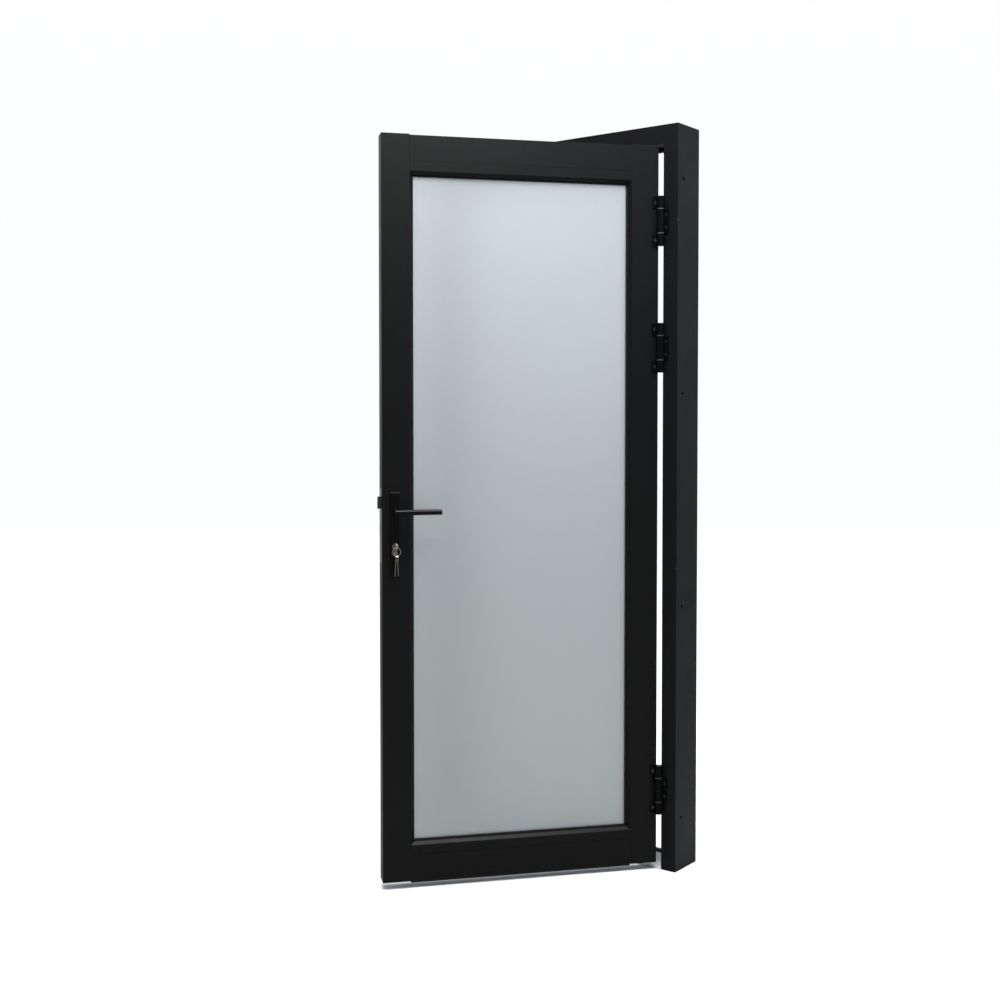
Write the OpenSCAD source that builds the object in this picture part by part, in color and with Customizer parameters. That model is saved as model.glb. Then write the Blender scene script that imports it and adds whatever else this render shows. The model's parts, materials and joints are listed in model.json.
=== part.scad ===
// Aluminium swing door with a frosted glass pane, hung in its own box frame.
// Origin: middle of the threshold's base. X runs from lock side to hinge side,
// Y from the front of the frame to its back, Z up. The leaf is drawn closed and
// then swung open about its hinge axis by open_angle.

/* [Frame] */
// Overall width of the frame
frame_w = 880; // [760:1:1100]
// Overall height of the frame
frame_h = 2100; // [1900:1:2400]
// Face width of the two jambs
jamb_face = 46; // [40:1:60]
// Face height of the head
head_face = 54; // [44:1:70]
// Depth of the wide outer side, from the front edge to the wall flange's lip
wrap_depth = 120; // [96:1:200]
// Wall thickness of the frame extrusions
frame_wall = 2; // [1.6:0.1:3]
// How far the door stop stands in from the jamb
stop_height = 10; // [8:1:16]
// Thickness of the door stop, front to back
stop_thickness = 10; // [8:1:16]
// Thickness of the wall flange
flange_t = 2.5; // [2:0.1:4]
// Width of the lip at the flange's rear edge
flange_lip = 12; // [8:1:20]

/* [Gaps] */
// Gap between leaf and jamb, each side
side_gap = 4; // [3.5:0.1:6]
// Gap between leaf and head
head_gap = 4; // [3:0.1:6]
// Gap between leaf and stop, where the seal sits
seal_gap = 4; // [3:0.1:6]
// Height of the leaf's underside above the frame's base
floor_gap = 20; // [16:1:26]

/* [Leaf] */
// Thickness of the leaf
leaf_t = 50; // [44:1:60]
// Room between the lock case and the wall behind it in the stile
case_room = 5; // [3:1:28]
// Flat face height of each rail, up to its glazing bead
rail_face = 70; // [60:1:110]
// Flat face height of each glazing bead
bead_face = 26; // [22:1:36]
// Width and depth of the bevel around the glass
bevel = 8; // [4:1:10]
// Wall thickness of the leaf extrusions
leaf_wall = 2; // [1.6:0.1:3]
// Thickness of the glass pane
glass_t = 8; // [6:1:10]
// How far the glass stands clear of the bottom of its channel
glass_clear = 4; // [3:0.5:6]
// Depth of the glass channel in the stiles
channel_depth = 15; // [12:1:20]
// Width of the glass channel
channel_w = 16; // [14:1:20]
// Thickness of the nylon caps on the stile ends
cap_t = 2.5; // [2:0.1:4]
// Angle at which the leaf stands open
open_angle = 50; // [0:1:100]

/* [Threshold] */
// Thickness of the threshold's tread
tread_t = 4; // [3:0.5:8]
// Height of the threshold's upstand
upstand_h = 33; // [28:1:40]
// Height of the seal above the upstand
sill_seal_rise = 5; // [3:1:8]
// How far the seal below the leaf hangs down
sweep_drop = 5; // [3:0.5:7]

/* [Hinges] */
// Diameter of the hinge barrel
barrel_d = 20; // [16:1:24]
// Gap between the hinge barrel and the leaf's face
barrel_gap = 2; // [1:0.5:5]
// Length of the middle knuckle
mid_knuckle = 66; // [50:1:80]
// Length of each outer knuckle
end_knuckle = 34; // [26:1:40]
// Diameter of the hinge pin
pin_d = 10; // [8:0.5:11]
// Thickness of the bearing washers
washer_t = 2; // [1:0.1:3]
// Thickness of the hinge plates
plate_t = 4; // [3:0.5:5]
// Reach of each hinge plate over leaf or jamb
plate_reach = 18; // [16:1:24]
// Distance from the leaf's top or bottom to the middle of the end hinges
hinge_inset = 211; // [150:1:300]
// Distance from the top hinge to the second one
hinge_pair = 353; // [250:1:500]

/* [Lock and handle] */
// Height of the lever's axis above the leaf's underside
lever_height = 1010; // [900:1:1100]
// Distance of the lever's axis from the leaf's edge
backset = 35; // [32:1:60]
// Distance from the lever's axis down to the cylinder's axis
cylinder_drop = 94; // [92:1:110]
// Width of the handle's backplate
backplate_w = 26; // [24:1:34]
// Thickness of the backplate
backplate_t = 8; // [6:1:12]
// Backplate above the lever's axis
backplate_up = 52; // [46:1:70]
// Backplate below the lever's axis
backplate_down = 168; // [150:1:190]
// Diameter of the lever bar
lever_d = 15; // [12:1:20]
// Length of the lever from its axis to its tip
lever_reach = 120; // [100:1:150]
// Distance from the leaf's face to the middle of the lever bar
lever_offset = 50; // [40:1:65]
// How far the latch bolt stands out of the leaf's edge
latch_throw = 10; // [8:1:14]
// Height of the latch bolt
latch_h = 33; // [26:1:36]
// Height of the middle of the latch bolt above the lever's axis
latch_rise = 23; // [20:1:26]
// How far the dead bolt can travel
dead_throw = 20; // [14:1:24]
// Height of the dead bolt
dead_h = 30; // [24:1:34]
// Thickness of both bolts
bolt_t = 12; // [10:1:12]
// Outside diameter of the key ring
ring_d = 24; // [20:1:32]

/* [Fits] */
// Radial clearance of turning parts
run_fit = 0.05; // [0.02:0.01:0.1]
// Clearance of seated parts
seat = 0.3; // [0.2:0.05:0.4]

/* [Hidden] */
$fn = 48;

black_coat = [0.13, 0.13, 0.135];
black_rubber = [0.05, 0.05, 0.05];
bare_aluminium = [0.72, 0.74, 0.76];
steel = [0.62, 0.62, 0.6];
brass = [0.72, 0.63, 0.42];
nickel = [0.78, 0.76, 0.7];
white_nylon = [0.88, 0.88, 0.86];
frosted = [0.74, 0.78, 0.8, 0.6];

// Margin by which a cutting body runs past what it cuts
over = 1;

// Screws: shank radius and length
small_screw_r = 2;
small_screw_len = 12;
bolt_r = 2.5;
hinge_screw_len = 18;
frame_screw_r = 2.4;
frame_screw_len = 30;
frame_screw_head_r = 4.5;
frame_screw_head_h = 2.5;
leaf_screw_r = 3;
leaf_screw_head_r = 5;
leaf_screw_head_h = 3;

// Frame, front to back: depths are counted from the front face
stop_front = leaf_t + seal_gap;
body_depth = stop_front + stop_thickness;
front_y = -body_depth / 2;
inner_x = frame_w / 2 - jamb_face;
soffit_z = frame_h - head_face;
sill_top = upstand_h + sill_seal_rise;
seal_t = seal_gap - 0.4;
fixing_depth = body_depth / 2;
fixing_r = 4.25;
fixing_margin = 150;
fixing_count = 4;
fixing_span = (frame_h - 2 * fixing_margin) / (fixing_count - 1);
head_screw_inset = 16;
sill_screw_depth = body_depth - frame_wall - frame_screw_head_r - seat;
frame_screw_places = [
    [depth(head_screw_inset), frame_h - head_face / 2],
    [depth(body_depth - head_screw_inset), frame_h - head_face / 2],
    [depth(sill_screw_depth), upstand_h / 2]];
frame_block_len = 50;

// Leaf, drawn closed
leaf_w = frame_w - 2 * jamb_face - 2 * side_gap;
leaf_x = leaf_w / 2;
leaf_z0 = floor_gap;
leaf_z1 = soffit_z - head_gap;
metal_z0 = leaf_z0 + cap_t;
metal_z1 = leaf_z1 - cap_t;
rail_total = rail_face + bead_face + bevel;
case_back = 20;
stile_face = backset + case_back + case_room + leaf_wall + channel_depth;
channel_v0 = (leaf_t - channel_w) / 2;
channel_v1 = (leaf_t + channel_w) / 2;
glass_v0 = (leaf_t - glass_t) / 2;
glass_v1 = (leaf_t + glass_t) / 2;
rail_x = leaf_x - stile_face;
sight_x = rail_x - bevel;
channel_u = stile_face - channel_depth;
web_u = channel_u - leaf_wall;
pocket_extra = 3;
rail_pocket = rail_total - channel_depth - pocket_extra;
glass_x = leaf_x - channel_u - glass_clear;
glass_z0 = rail_z(-1, rail_pocket + glass_clear);
glass_z1 = rail_z(1, rail_pocket + glass_clear);
lip_show = 4;
gasket_grip = 10;
bead_gap = 0.4;
bead_wall = 1.6;
clip_t0 = rail_face + 8;
clip_w = 2;
block_clear = seat / 2;
leaf_block_len = 60;
leaf_screw_depths = [channel_v0 / 2, leaf_t - channel_v0 / 2];

// Hinges
axis_x = leaf_x + side_gap / 2;
axis_y = front_y - barrel_d / 2 - barrel_gap;
hinge_z = [leaf_z1 - hinge_inset, leaf_z1 - hinge_inset - hinge_pair, leaf_z0 + hinge_inset];
washer_gap = 0.1;
end_knuckle_z0 = mid_knuckle / 2 + washer_t + washer_gap;
hinge_screw_reach = plate_reach / 2 + 1;
hinge_screw_spread = 18;
washer_inset = 0.5;
pin_recess = 1;

// Lock
lock_mid = leaf_t / 2;
lever_z = leaf_z0 + lever_height;
cyl_z = lever_z - cylinder_drop;
latch_z = lever_z + latch_rise;
dead_drop = 8;
dead_z = (lever_z + cyl_z) / 2 - dead_drop;
lock_x = -leaf_x + backset;
faceplate_t = 3;
faceplate_w = 22;
faceplate_below = 48;
faceplate_above = 22;
faceplate_z0 = cyl_z - faceplate_below;
faceplate_z1 = latch_z + latch_h / 2 + faceplate_above;
plate_screw_inset = 7;
case_t = 16;
case_wall = 1.5;
case_below = 36;
case_above = 10;
case_u1 = backset + case_back;
case_z0 = cyl_z - case_below;
case_z1 = latch_z + latch_h / 2 + case_above;
slot_clear = 0.3;
latch_tail = 16;
dead_guide = 10;
dead_len = dead_throw + dead_guide;
dead_recess = 0.5;
follower_r = 10;
hub_r = 7;
spindle_w = 8;
bolt_inset_top = 10;
bolt_inset_low = 12;
plate_bolt_z = [lever_z + backplate_up - bolt_inset_top,
    lever_z - backplate_down + bolt_inset_low];
plate_chamfer = 2.5;
bolt_cover = 2;
strike_margin = 16;
strike_z0 = dead_z - dead_h / 2 - strike_margin;
strike_z1 = latch_z + latch_h / 2 + strike_margin;
strike_w = 28;
strike_t = 2.5;
strike_clear = 2;

// Levers
lever_spigot_r = 8;
lever_collar_r = lever_d / 2 + 2.5;
lever_collar_t = 4;
lever_gap = 0.1;
spigot_len = 6;
socket_end = 12;
spindle_end = socket_end + 2;

// Cylinder and keys
euro_r = 8.5;
euro_lobe_r = 5;
euro_drop = 24.5;
plug_r = 6.5;
euro_proud = 2;
cam_reach = 15;
cam_w = 9;
cam_gap = 0.4;
cyl_screw_z = cyl_z - (euro_drop + cam_reach) / 2;
key_t = 2.2;
key_slack = 0.4;
bow_r = 11;
key_hole_r = 3;
key_hole_off = 5;
blade_h = 8;
blade_len = 36;
wire_r = 1;
bow_stand = 3;
ring_r = ring_d / 2 - wire_r;
euro_v0 = -backplate_t - euro_proud;
euro_v1 = leaf_t + backplate_t + euro_proud;
bow_v = euro_v0 - bow_stand - bow_r;
ring_v = bow_v - key_hole_off;
hang_gap = 0.2;
spare_gap = 0.5;
ring_top_z = cyl_z - key_hole_r + wire_r + hang_gap;
ring_low_z = ring_top_z - 2 * ring_r;
key_splay = 2.5;

// ---------------------------------------------------------------- helpers

function depth(v) = front_y + v;
function mid(a, b) = (a + b) / 2;

// Extrudes a drawing of [Y, Z] along X
module along_x(x0, x1) {
    translate([x0, 0, 0]) rotate([90, 0, 90]) linear_extrude(height = x1 - x0) children();
}

// Extrudes a drawing of [X, Z] along Y
module along_y(y0, y1) {
    translate([0, y1, 0]) rotate([90, 0, 0]) linear_extrude(height = y1 - y0) children();
}

// Extrudes a drawing of [X, Y] along Z
module along_z(z0, z1) {
    translate([0, 0, z0]) linear_extrude(height = z1 - z0) children();
}

module block(lo, hi) {
    translate(lo) cube(hi - lo);
}

module rod_x(x0, x1, y, z, r) {
    translate([x0, y, z]) rotate([0, 90, 0]) cylinder(h = x1 - x0, r = r);
}

module rod_y(x, y0, y1, z, r) {
    translate([x, y0, z]) rotate([-90, 0, 0]) cylinder(h = y1 - y0, r = r);
}

module rod_z(x, y, z0, z1, r) {
    translate([x, y, z0]) cylinder(h = z1 - z0, r = r);
}

// Countersunk screw with a hexagon socket, head at the origin, shank along +Z
module screw(shank_r, length) {
    head_r = shank_r * 2;
    difference() {
        union() {
            cylinder(h = shank_r, r1 = head_r, r2 = shank_r);
            cylinder(h = length, r = shank_r);
        }
        translate([0, 0, -over]) cylinder(h = over + shank_r * 0.8, r = shank_r * 0.75, $fn = 6);
    }
}

// The hole that such a screw sits in
module screw_hole(shank_r, length) {
    head_r = shank_r * 2 + run_fit;
    hole_r = shank_r + run_fit;
    cylinder(h = shank_r, r1 = head_r, r2 = hole_r);
    translate([0, 0, -over]) cylinder(h = over, r = head_r);
    cylinder(h = length, r = hole_r);
}

// Turns something drawn along +Z to point along +Y, +X or -X
module toward_y(x, y, z) translate([x, y, z]) rotate([-90, 0, 0]) children();
module toward_rear_face(x, y, z) translate([x, y, z]) rotate([90, 0, 0]) children();
module toward_px(x, y, z) translate([x, y, z]) rotate([0, 90, 0]) children();
module toward_nx(x, y, z) translate([x, y, z]) rotate([0, -90, 0]) children();

// Swings the closed leaf open about the hinge axis
module swing() {
    translate([axis_x, axis_y, 0]) rotate([0, 0, open_angle]) translate([-axis_x, -axis_y, 0])
        children();
}

// ---------------------------------------------------------------- frame

// Outline of a frame extrusion: u runs in from the outer face, v from front to back
function frame_outline(face) = [
    [0, 0], [face, 0], [face, stop_front], [face + stop_height, stop_front],
    [face + stop_height, body_depth], [flange_t, body_depth],
    [flange_t, wrap_depth - flange_t], [flange_lip, wrap_depth - flange_t],
    [flange_lip, wrap_depth], [0, wrap_depth]];
function frame_chamber(face) = [
    [frame_wall, frame_wall], [face - frame_wall, frame_wall],
    [face - frame_wall, body_depth - frame_wall], [frame_wall, body_depth - frame_wall]];
function stop_chamber(face) = [
    [face, stop_front + frame_wall], [face + stop_height - frame_wall, stop_front + frame_wall],
    [face + stop_height - frame_wall, body_depth - frame_wall], [face, body_depth - frame_wall]];

// Places an outline on a jamb: side is 1 at the hinges and -1 at the lock
function on_jamb(side, pts) = [for (p = pts) [side * (frame_w / 2 - p[0]), depth(p[1])]];
function on_head(pts) = [for (p = pts) [depth(p[1]), frame_h - p[0]]];

module jamb_body(side) {
    stop_x = side * inner_x;
    stop_tip = side * (inner_x - stop_height - over);
    difference() {
        along_z(0, frame_h) difference() {
            polygon(on_jamb(side, frame_outline(jamb_face)));
            polygon(on_jamb(side, frame_chamber(jamb_face)));
            polygon(on_jamb(side, stop_chamber(jamb_face)));
        }
        // The stop is notched for the threshold and for the head
        block([min(stop_x, stop_tip), depth(stop_front - over), -over],
            [max(stop_x, stop_tip), depth(body_depth + over), sill_top]);
        block([min(stop_x, stop_tip), depth(stop_front - over), soffit_z - stop_height],
            [max(stop_x, stop_tip), depth(body_depth + over), frame_h + over]);
        // The lip makes way for the head's lip
        block([side > 0 ? 0 : -frame_w / 2 + flange_t, depth(wrap_depth - flange_t - over),
                frame_h - flange_lip],
            [side > 0 ? frame_w / 2 - flange_t : 0, depth(wrap_depth + over), frame_h + over]);
        // Wall fixings, through both walls of the chamber
        for (i = [0:fixing_count - 1])
            rod_x(min(stop_x - side * over, side * (frame_w / 2 + over)),
                max(stop_x - side * over, side * (frame_w / 2 + over)),
                depth(fixing_depth), fixing_margin + i * fixing_span, fixing_r);
        // Screws into the head and the threshold
        for (p = frame_screw_places)
            rod_x(min(stop_x - side * over, stop_x + side * (frame_wall + over)),
                max(stop_x - side * over, stop_x + side * (frame_wall + over)),
                p[0], p[1], frame_screw_r + run_fit);
    }
}

// Pan-head screw whose head stands in the jamb's chamber, shank toward the middle
module frame_screw(side, y, z) {
    head_x = side * (inner_x + frame_wall);
    tip_x = side * (inner_x - frame_screw_len + frame_wall);
    rod_x(min(head_x, tip_x), max(head_x, tip_x), y, z, frame_screw_r);
    difference() {
        rod_x(min(head_x, head_x + side * frame_screw_head_h),
            max(head_x, head_x + side * frame_screw_head_h), y, z, frame_screw_head_r);
        translate([head_x + side * frame_screw_head_h, y, z]) rotate([0, 90, 0])
            cylinder(h = frame_screw_head_h, r = frame_screw_r, center = true, $fn = 6);
    }
}

module frame_jamb_hinge() {
    color(black_coat) difference() {
        jamb_body(1);
        for (h = hinge_z, s = [-1, 1])
            toward_y(inner_x + hinge_screw_reach, front_y - plate_t, h + s * hinge_screw_spread)
                screw_hole(bolt_r, plate_t + frame_wall + over);
    }
}

module frame_jamb_lock() {
    color(black_coat) difference() {
        jamb_body(-1);
        block([-inner_x - frame_wall - over, depth(lock_mid - strike_w / 2 - slot_clear),
                strike_z0 - slot_clear],
            [-inner_x + over, depth(lock_mid + strike_w / 2 + slot_clear),
                strike_z1 + slot_clear]);
    }
}

module frame_head() {
    color(black_coat) {
        along_x(-inner_x, inner_x) difference() {
            polygon(on_head(frame_outline(head_face)));
            polygon(on_head(frame_chamber(head_face)));
            polygon(on_head(stop_chamber(head_face)));
        }
        block([-frame_w / 2 + flange_t, depth(body_depth), frame_h - flange_t],
            [frame_w / 2 - flange_t, depth(wrap_depth), frame_h]);
        block([-frame_w / 2 + flange_t, depth(wrap_depth - flange_t), frame_h - flange_lip],
            [frame_w / 2 - flange_t, depth(wrap_depth), frame_h]);
    }
}

module frame_corner_blocks() {
    margin = frame_wall + block_clear;
    color(bare_aluminium) for (side = [-1, 1]) difference() {
        block([side > 0 ? inner_x - frame_block_len : -inner_x, depth(margin), soffit_z + margin],
            [side > 0 ? inner_x : -inner_x + frame_block_len,
                depth(body_depth - margin), frame_h - margin]);
        for (i = [0, 1])
            rod_x(side > 0 ? inner_x - frame_screw_len : -inner_x - over,
                side > 0 ? inner_x + over : -inner_x + frame_screw_len,
                frame_screw_places[i][0], frame_screw_places[i][1], frame_screw_r + run_fit);
    }
}

module frame_screws() {
    color(steel) for (side = [-1, 1], p = frame_screw_places) frame_screw(side, p[0], p[1]);
}

module threshold() {
    port_z = upstand_h / 2;
    port_half = 6;
    nose = 1;
    color(bare_aluminium) difference() {
        along_x(-inner_x, inner_x) difference() {
            polygon([[depth(0), 0], [depth(body_depth), 0], [depth(body_depth), upstand_h],
                [depth(stop_front), upstand_h], [depth(stop_front), tread_t],
                [depth(nose), tread_t], [depth(0), tread_t - nose]]);
            polygon([[depth(stop_front + frame_wall), frame_wall],
                [depth(body_depth - frame_wall), frame_wall],
                [depth(body_depth - frame_wall), port_z - port_half],
                [depth(stop_front + frame_wall), port_z - port_half]]);
            polygon([[depth(stop_front + frame_wall), port_z + port_half],
                [depth(body_depth - frame_wall), port_z + port_half],
                [depth(body_depth - frame_wall), upstand_h - frame_wall],
                [depth(stop_front + frame_wall), upstand_h - frame_wall]]);
        }
        rod_x(-inner_x - over, inner_x + over, frame_screw_places[2][0], port_z,
            frame_screw_r + run_fit);
    }
}

module threshold_seal() {
    wrap = 5;
    front = depth(stop_front - seal_t);
    face = depth(stop_front);
    rear = depth(body_depth - frame_wall);
    color(black_rubber) along_x(-inner_x, inner_x)
        polygon([[front, upstand_h - wrap], [face, upstand_h - wrap], [face, upstand_h],
            [rear, upstand_h], [rear, sill_top], [front, sill_top]]);
}

// One length of bulb seal, bent round the two top corners
module frame_seal() {
    rim = 1;
    outer_x = inner_x - rim;
    inner_edge = inner_x - stop_height + rim;
    top = soffit_z - rim;
    low = soffit_z - stop_height + rim;
    color(black_rubber) along_y(depth(stop_front - seal_t), depth(stop_front))
        polygon([[-outer_x, sill_top], [-outer_x, top], [outer_x, top], [outer_x, sill_top],
            [inner_edge, sill_top], [inner_edge, low], [-inner_edge, low],
            [-inner_edge, sill_top]]);
}

module strike_plate() {
    color(steel) difference() {
        block([-inner_x - strike_t, depth(lock_mid - strike_w / 2), strike_z0],
            [-inner_x, depth(lock_mid + strike_w / 2), strike_z1]);
        for (b = [[latch_z, latch_h], [dead_z, dead_h]])
            block([-inner_x - strike_t - over, depth(lock_mid - bolt_t / 2 - strike_clear),
                    b[0] - b[1] / 2 - strike_clear],
                [-inner_x + over, depth(lock_mid + bolt_t / 2 + strike_clear),
                    b[0] + b[1] / 2 + strike_clear]);
        for (z = [strike_z0 + plate_screw_inset, strike_z1 - plate_screw_inset])
            toward_nx(-inner_x, depth(lock_mid), z) screw_hole(small_screw_r, strike_t + over);
    }
}

module strike_screws() {
    color(steel) for (z = [strike_z0 + plate_screw_inset, strike_z1 - plate_screw_inset])
        toward_nx(-inner_x, depth(lock_mid), z) screw(small_screw_r, small_screw_len);
}

// ---------------------------------------------------------------- hinges

// Middle knuckle with its plate on the jamb
module hinge_frame(h) {
    z0 = h - mid_knuckle / 2;
    z1 = h + mid_knuckle / 2;
    color(black_coat) difference() {
        union() {
            rod_z(axis_x, axis_y, z0, z1, barrel_d / 2);
            block([axis_x, front_y - plate_t, z0], [inner_x + plate_reach, front_y, z1]);
            block([axis_x, axis_y, z0], [axis_x + barrel_d / 2, front_y - plate_t / 2, z1]);
        }
        rod_z(axis_x, axis_y, z0 - over, z1 + over, pin_d / 2 + run_fit);
        for (s = [-1, 1])
            toward_y(inner_x + hinge_screw_reach, front_y - plate_t, h + s * hinge_screw_spread)
                screw_hole(bolt_r, plate_t + over);
    }
}

module hinge_frame_top() hinge_frame(hinge_z[0]);
module hinge_frame_middle() hinge_frame(hinge_z[1]);
module hinge_frame_bottom() hinge_frame(hinge_z[2]);

module hinge_frame_screws() {
    color(steel) for (h = hinge_z, s = [-1, 1])
        toward_y(inner_x + hinge_screw_reach, front_y - plate_t, h + s * hinge_screw_spread)
            screw(bolt_r, hinge_screw_len);
}

module hinge_washers() {
    color(white_nylon) for (h = hinge_z, s = [-1, 1]) {
        z = h + s * (mid_knuckle + washer_t) / 2;
        difference() {
            rod_z(axis_x, axis_y, z - washer_t / 2, z + washer_t / 2, barrel_d / 2 - washer_inset);
            rod_z(axis_x, axis_y, z - washer_t, z + washer_t, pin_d / 2 + run_fit);
        }
    }
}

// Outer knuckle with its plate on the leaf: s is 1 above the middle knuckle, -1 below
module hinge_leaf(h, s) {
    a = h + s * end_knuckle_z0;
    b = a + s * end_knuckle;
    z0 = min(a, b);
    z1 = max(a, b);
    color(black_coat) swing() difference() {
        union() {
            rod_z(axis_x, axis_y, z0, z1, barrel_d / 2);
            block([leaf_x - plate_reach, front_y - plate_t, z0], [axis_x, front_y, z1]);
            block([axis_x - barrel_d / 2, axis_y, z0], [axis_x, front_y - plate_t / 2, z1]);
        }
        rod_z(axis_x, axis_y, z0 - over, z1 + over, pin_d / 2 + run_fit);
        toward_y(leaf_x - hinge_screw_reach, front_y - plate_t, mid(z0, z1))
            screw_hole(bolt_r, plate_t + over);
        // The plate ends at the leaf's edge, clear of the jamb
        block([leaf_x, front_y - plate_t / 2, z0 - over],
            [axis_x + over, front_y + over, z1 + over]);
    }
}

module hinge_leaf_top_upper() hinge_leaf(hinge_z[0], 1);
module hinge_leaf_top_lower() hinge_leaf(hinge_z[0], -1);
module hinge_leaf_middle_upper() hinge_leaf(hinge_z[1], 1);
module hinge_leaf_middle_lower() hinge_leaf(hinge_z[1], -1);
module hinge_leaf_bottom_upper() hinge_leaf(hinge_z[2], 1);
module hinge_leaf_bottom_lower() hinge_leaf(hinge_z[2], -1);

module hinge_pin(h) {
    half = end_knuckle_z0 + end_knuckle - pin_recess;
    color(steel) swing() rod_z(axis_x, axis_y, h - half, h + half, pin_d / 2);
}

module hinge_pin_top() hinge_pin(hinge_z[0]);
module hinge_pin_middle() hinge_pin(hinge_z[1]);
module hinge_pin_bottom() hinge_pin(hinge_z[2]);

function leaf_hinge_screw_z() =
    [for (h = hinge_z, s = [-1, 1]) h + s * (end_knuckle_z0 + end_knuckle / 2)];

module hinge_leaf_screws() {
    color(steel) swing() for (z = leaf_hinge_screw_z())
        toward_y(leaf_x - hinge_screw_reach, front_y - plate_t, z) screw(bolt_r, hinge_screw_len);
}

// ---------------------------------------------------------------- leaf

// Places an outline on a stile: u runs in from the leaf's edge
function on_stile(side, pts) = [for (p = pts) [side * (leaf_x - p[0]), depth(p[1])]];

function stile_outline() = [
    [0, 0], [stile_face, 0], [stile_face, channel_v0], [channel_u, channel_v0],
    [channel_u, channel_v1], [stile_face, channel_v1], [stile_face, leaf_t], [0, leaf_t]];
function box_outline(u0, u1, v0, v1) = [[u0, v0], [u1, v0], [u1, v1], [u0, v1]];
function lip_outline_front() = [
    [stile_face - over, 0], [stile_face, 0], [stile_face + bevel, bevel],
    [stile_face + bevel, channel_v0], [stile_face - over, channel_v0]];
function lip_outline_rear() = [
    [stile_face - over, leaf_t], [stile_face, leaf_t], [stile_face + bevel, leaf_t - bevel],
    [stile_face + bevel, channel_v1], [stile_face - over, channel_v1]];

// Rail heights, counted in from the leaf's metal edge: end is 1 at the top, -1 below
function rail_z(end, t) = end > 0 ? metal_z1 - t : metal_z0 + t;

module stile_body(side) {
    difference() {
        union() {
            along_z(metal_z0, metal_z1) polygon(on_stile(side, stile_outline()));
            // The bevelled lips are mitred where they meet the rails
            intersection() {
                along_z(metal_z0, metal_z1) union() {
                    polygon(on_stile(side, lip_outline_front()));
                    polygon(on_stile(side, lip_outline_rear()));
                }
                along_y(depth(-over), depth(leaf_t + over))
                    polygon([
                        [side * (rail_x + over), rail_z(-1, rail_total - bevel - over)],
                        [side * sight_x, rail_z(-1, rail_total)],
                        [side * sight_x, rail_z(1, rail_total)],
                        [side * (rail_x + over), rail_z(1, rail_total - bevel - over)]]);
            }
        }
        along_z(metal_z0 - over, metal_z1 + over) union() {
            polygon(on_stile(side, box_outline(leaf_wall, web_u, leaf_wall, leaf_t - leaf_wall)));
            polygon(on_stile(side, box_outline(channel_u, stile_face - leaf_wall,
                leaf_wall, channel_v0 - leaf_wall)));
            polygon(on_stile(side, box_outline(channel_u, stile_face - leaf_wall,
                channel_v1 + leaf_wall, leaf_t - leaf_wall)));
        }
        for (end = [-1, 1], v = leaf_screw_depths)
            rod_x(side > 0 ? rail_x - over : -leaf_x + web_u - over,
                side > 0 ? leaf_x - web_u + over : -rail_x + over,
                depth(v), rail_z(end, rail_face / 2), leaf_screw_r + run_fit);
    }
}

module stile_hinge() {
    color(black_coat) swing() difference() {
        stile_body(1);
        for (z = leaf_hinge_screw_z())
            toward_y(leaf_x - hinge_screw_reach, front_y - plate_t, z)
                screw_hole(bolt_r, plate_t + leaf_wall + over);
    }
}

module stile_lock() {
    color(black_coat) swing() difference() {
        stile_body(-1);
        // Cut-out in the edge for the lock's faceplate
        block([-leaf_x - over, depth(lock_mid - faceplate_w / 2 - slot_clear),
                faceplate_z0 - slot_clear],
            [-leaf_x + leaf_wall + over, depth(lock_mid + faceplate_w / 2 + slot_clear),
                faceplate_z1 + slot_clear]);
        // Holes through both faces for spindle, cylinder and plate bolts
        rod_y(lock_x, depth(-over), depth(leaf_t + over), lever_z, follower_r + over);
        euro_body(depth(-over), depth(leaf_t + over), over);
        for (z = plate_bolt_z)
            rod_y(lock_x, depth(-over), depth(leaf_t + over), z, bolt_r + seat);
    }
}

// Elevation of a rail or bead, mitred at the bevel
function rail_elevation(end, t0) = [
    [-rail_x, rail_z(end, t0)], [rail_x, rail_z(end, t0)],
    [rail_x, rail_z(end, rail_total - bevel)], [sight_x, rail_z(end, rail_total)],
    [-sight_x, rail_z(end, rail_total)], [-rail_x, rail_z(end, rail_total - bevel)]];
function on_rail(end, pts) = [for (p = pts) [depth(p[1]), rail_z(end, p[0])]];

module rail(end) {
    color(black_coat) swing() difference() {
        intersection() {
            along_x(-rail_x, rail_x) polygon(on_rail(end, [
                [0, 0], [rail_face, 0], [rail_face, channel_v0], [rail_pocket, channel_v0],
                [rail_pocket, channel_v1], [rail_total, channel_v1],
                [rail_total, leaf_t - bevel], [rail_total - bevel, leaf_t], [0, leaf_t]]));
            along_y(depth(-over), depth(leaf_t + over)) polygon(rail_elevation(end, 0));
        }
        along_x(-rail_x - over, rail_x + over) union() {
            polygon(on_rail(end, [
                [leaf_wall, leaf_wall], [rail_face - leaf_wall, leaf_wall],
                [rail_face - leaf_wall, channel_v0 + leaf_wall],
                [rail_pocket - leaf_wall, channel_v0 + leaf_wall],
                [rail_pocket - leaf_wall, leaf_t - leaf_wall], [leaf_wall, leaf_t - leaf_wall]]));
            polygon(on_rail(end, [
                [rail_pocket, channel_v1 + leaf_wall],
                [rail_total - leaf_wall, channel_v1 + leaf_wall],
                [rail_total - leaf_wall, leaf_t - bevel - leaf_wall / 2],
                [rail_total - bevel - leaf_wall / 2, leaf_t - leaf_wall],
                [rail_pocket, leaf_t - leaf_wall]]));
            // Slot that takes the bead's clip
            polygon(on_rail(end, box_outline(clip_t0 - slot_clear, clip_t0 + clip_w + slot_clear,
                channel_v0 - over, channel_v0 + leaf_wall + over)));
        }
    }
}

module rail_top() rail(1);
module rail_bottom() rail(-1);

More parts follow.
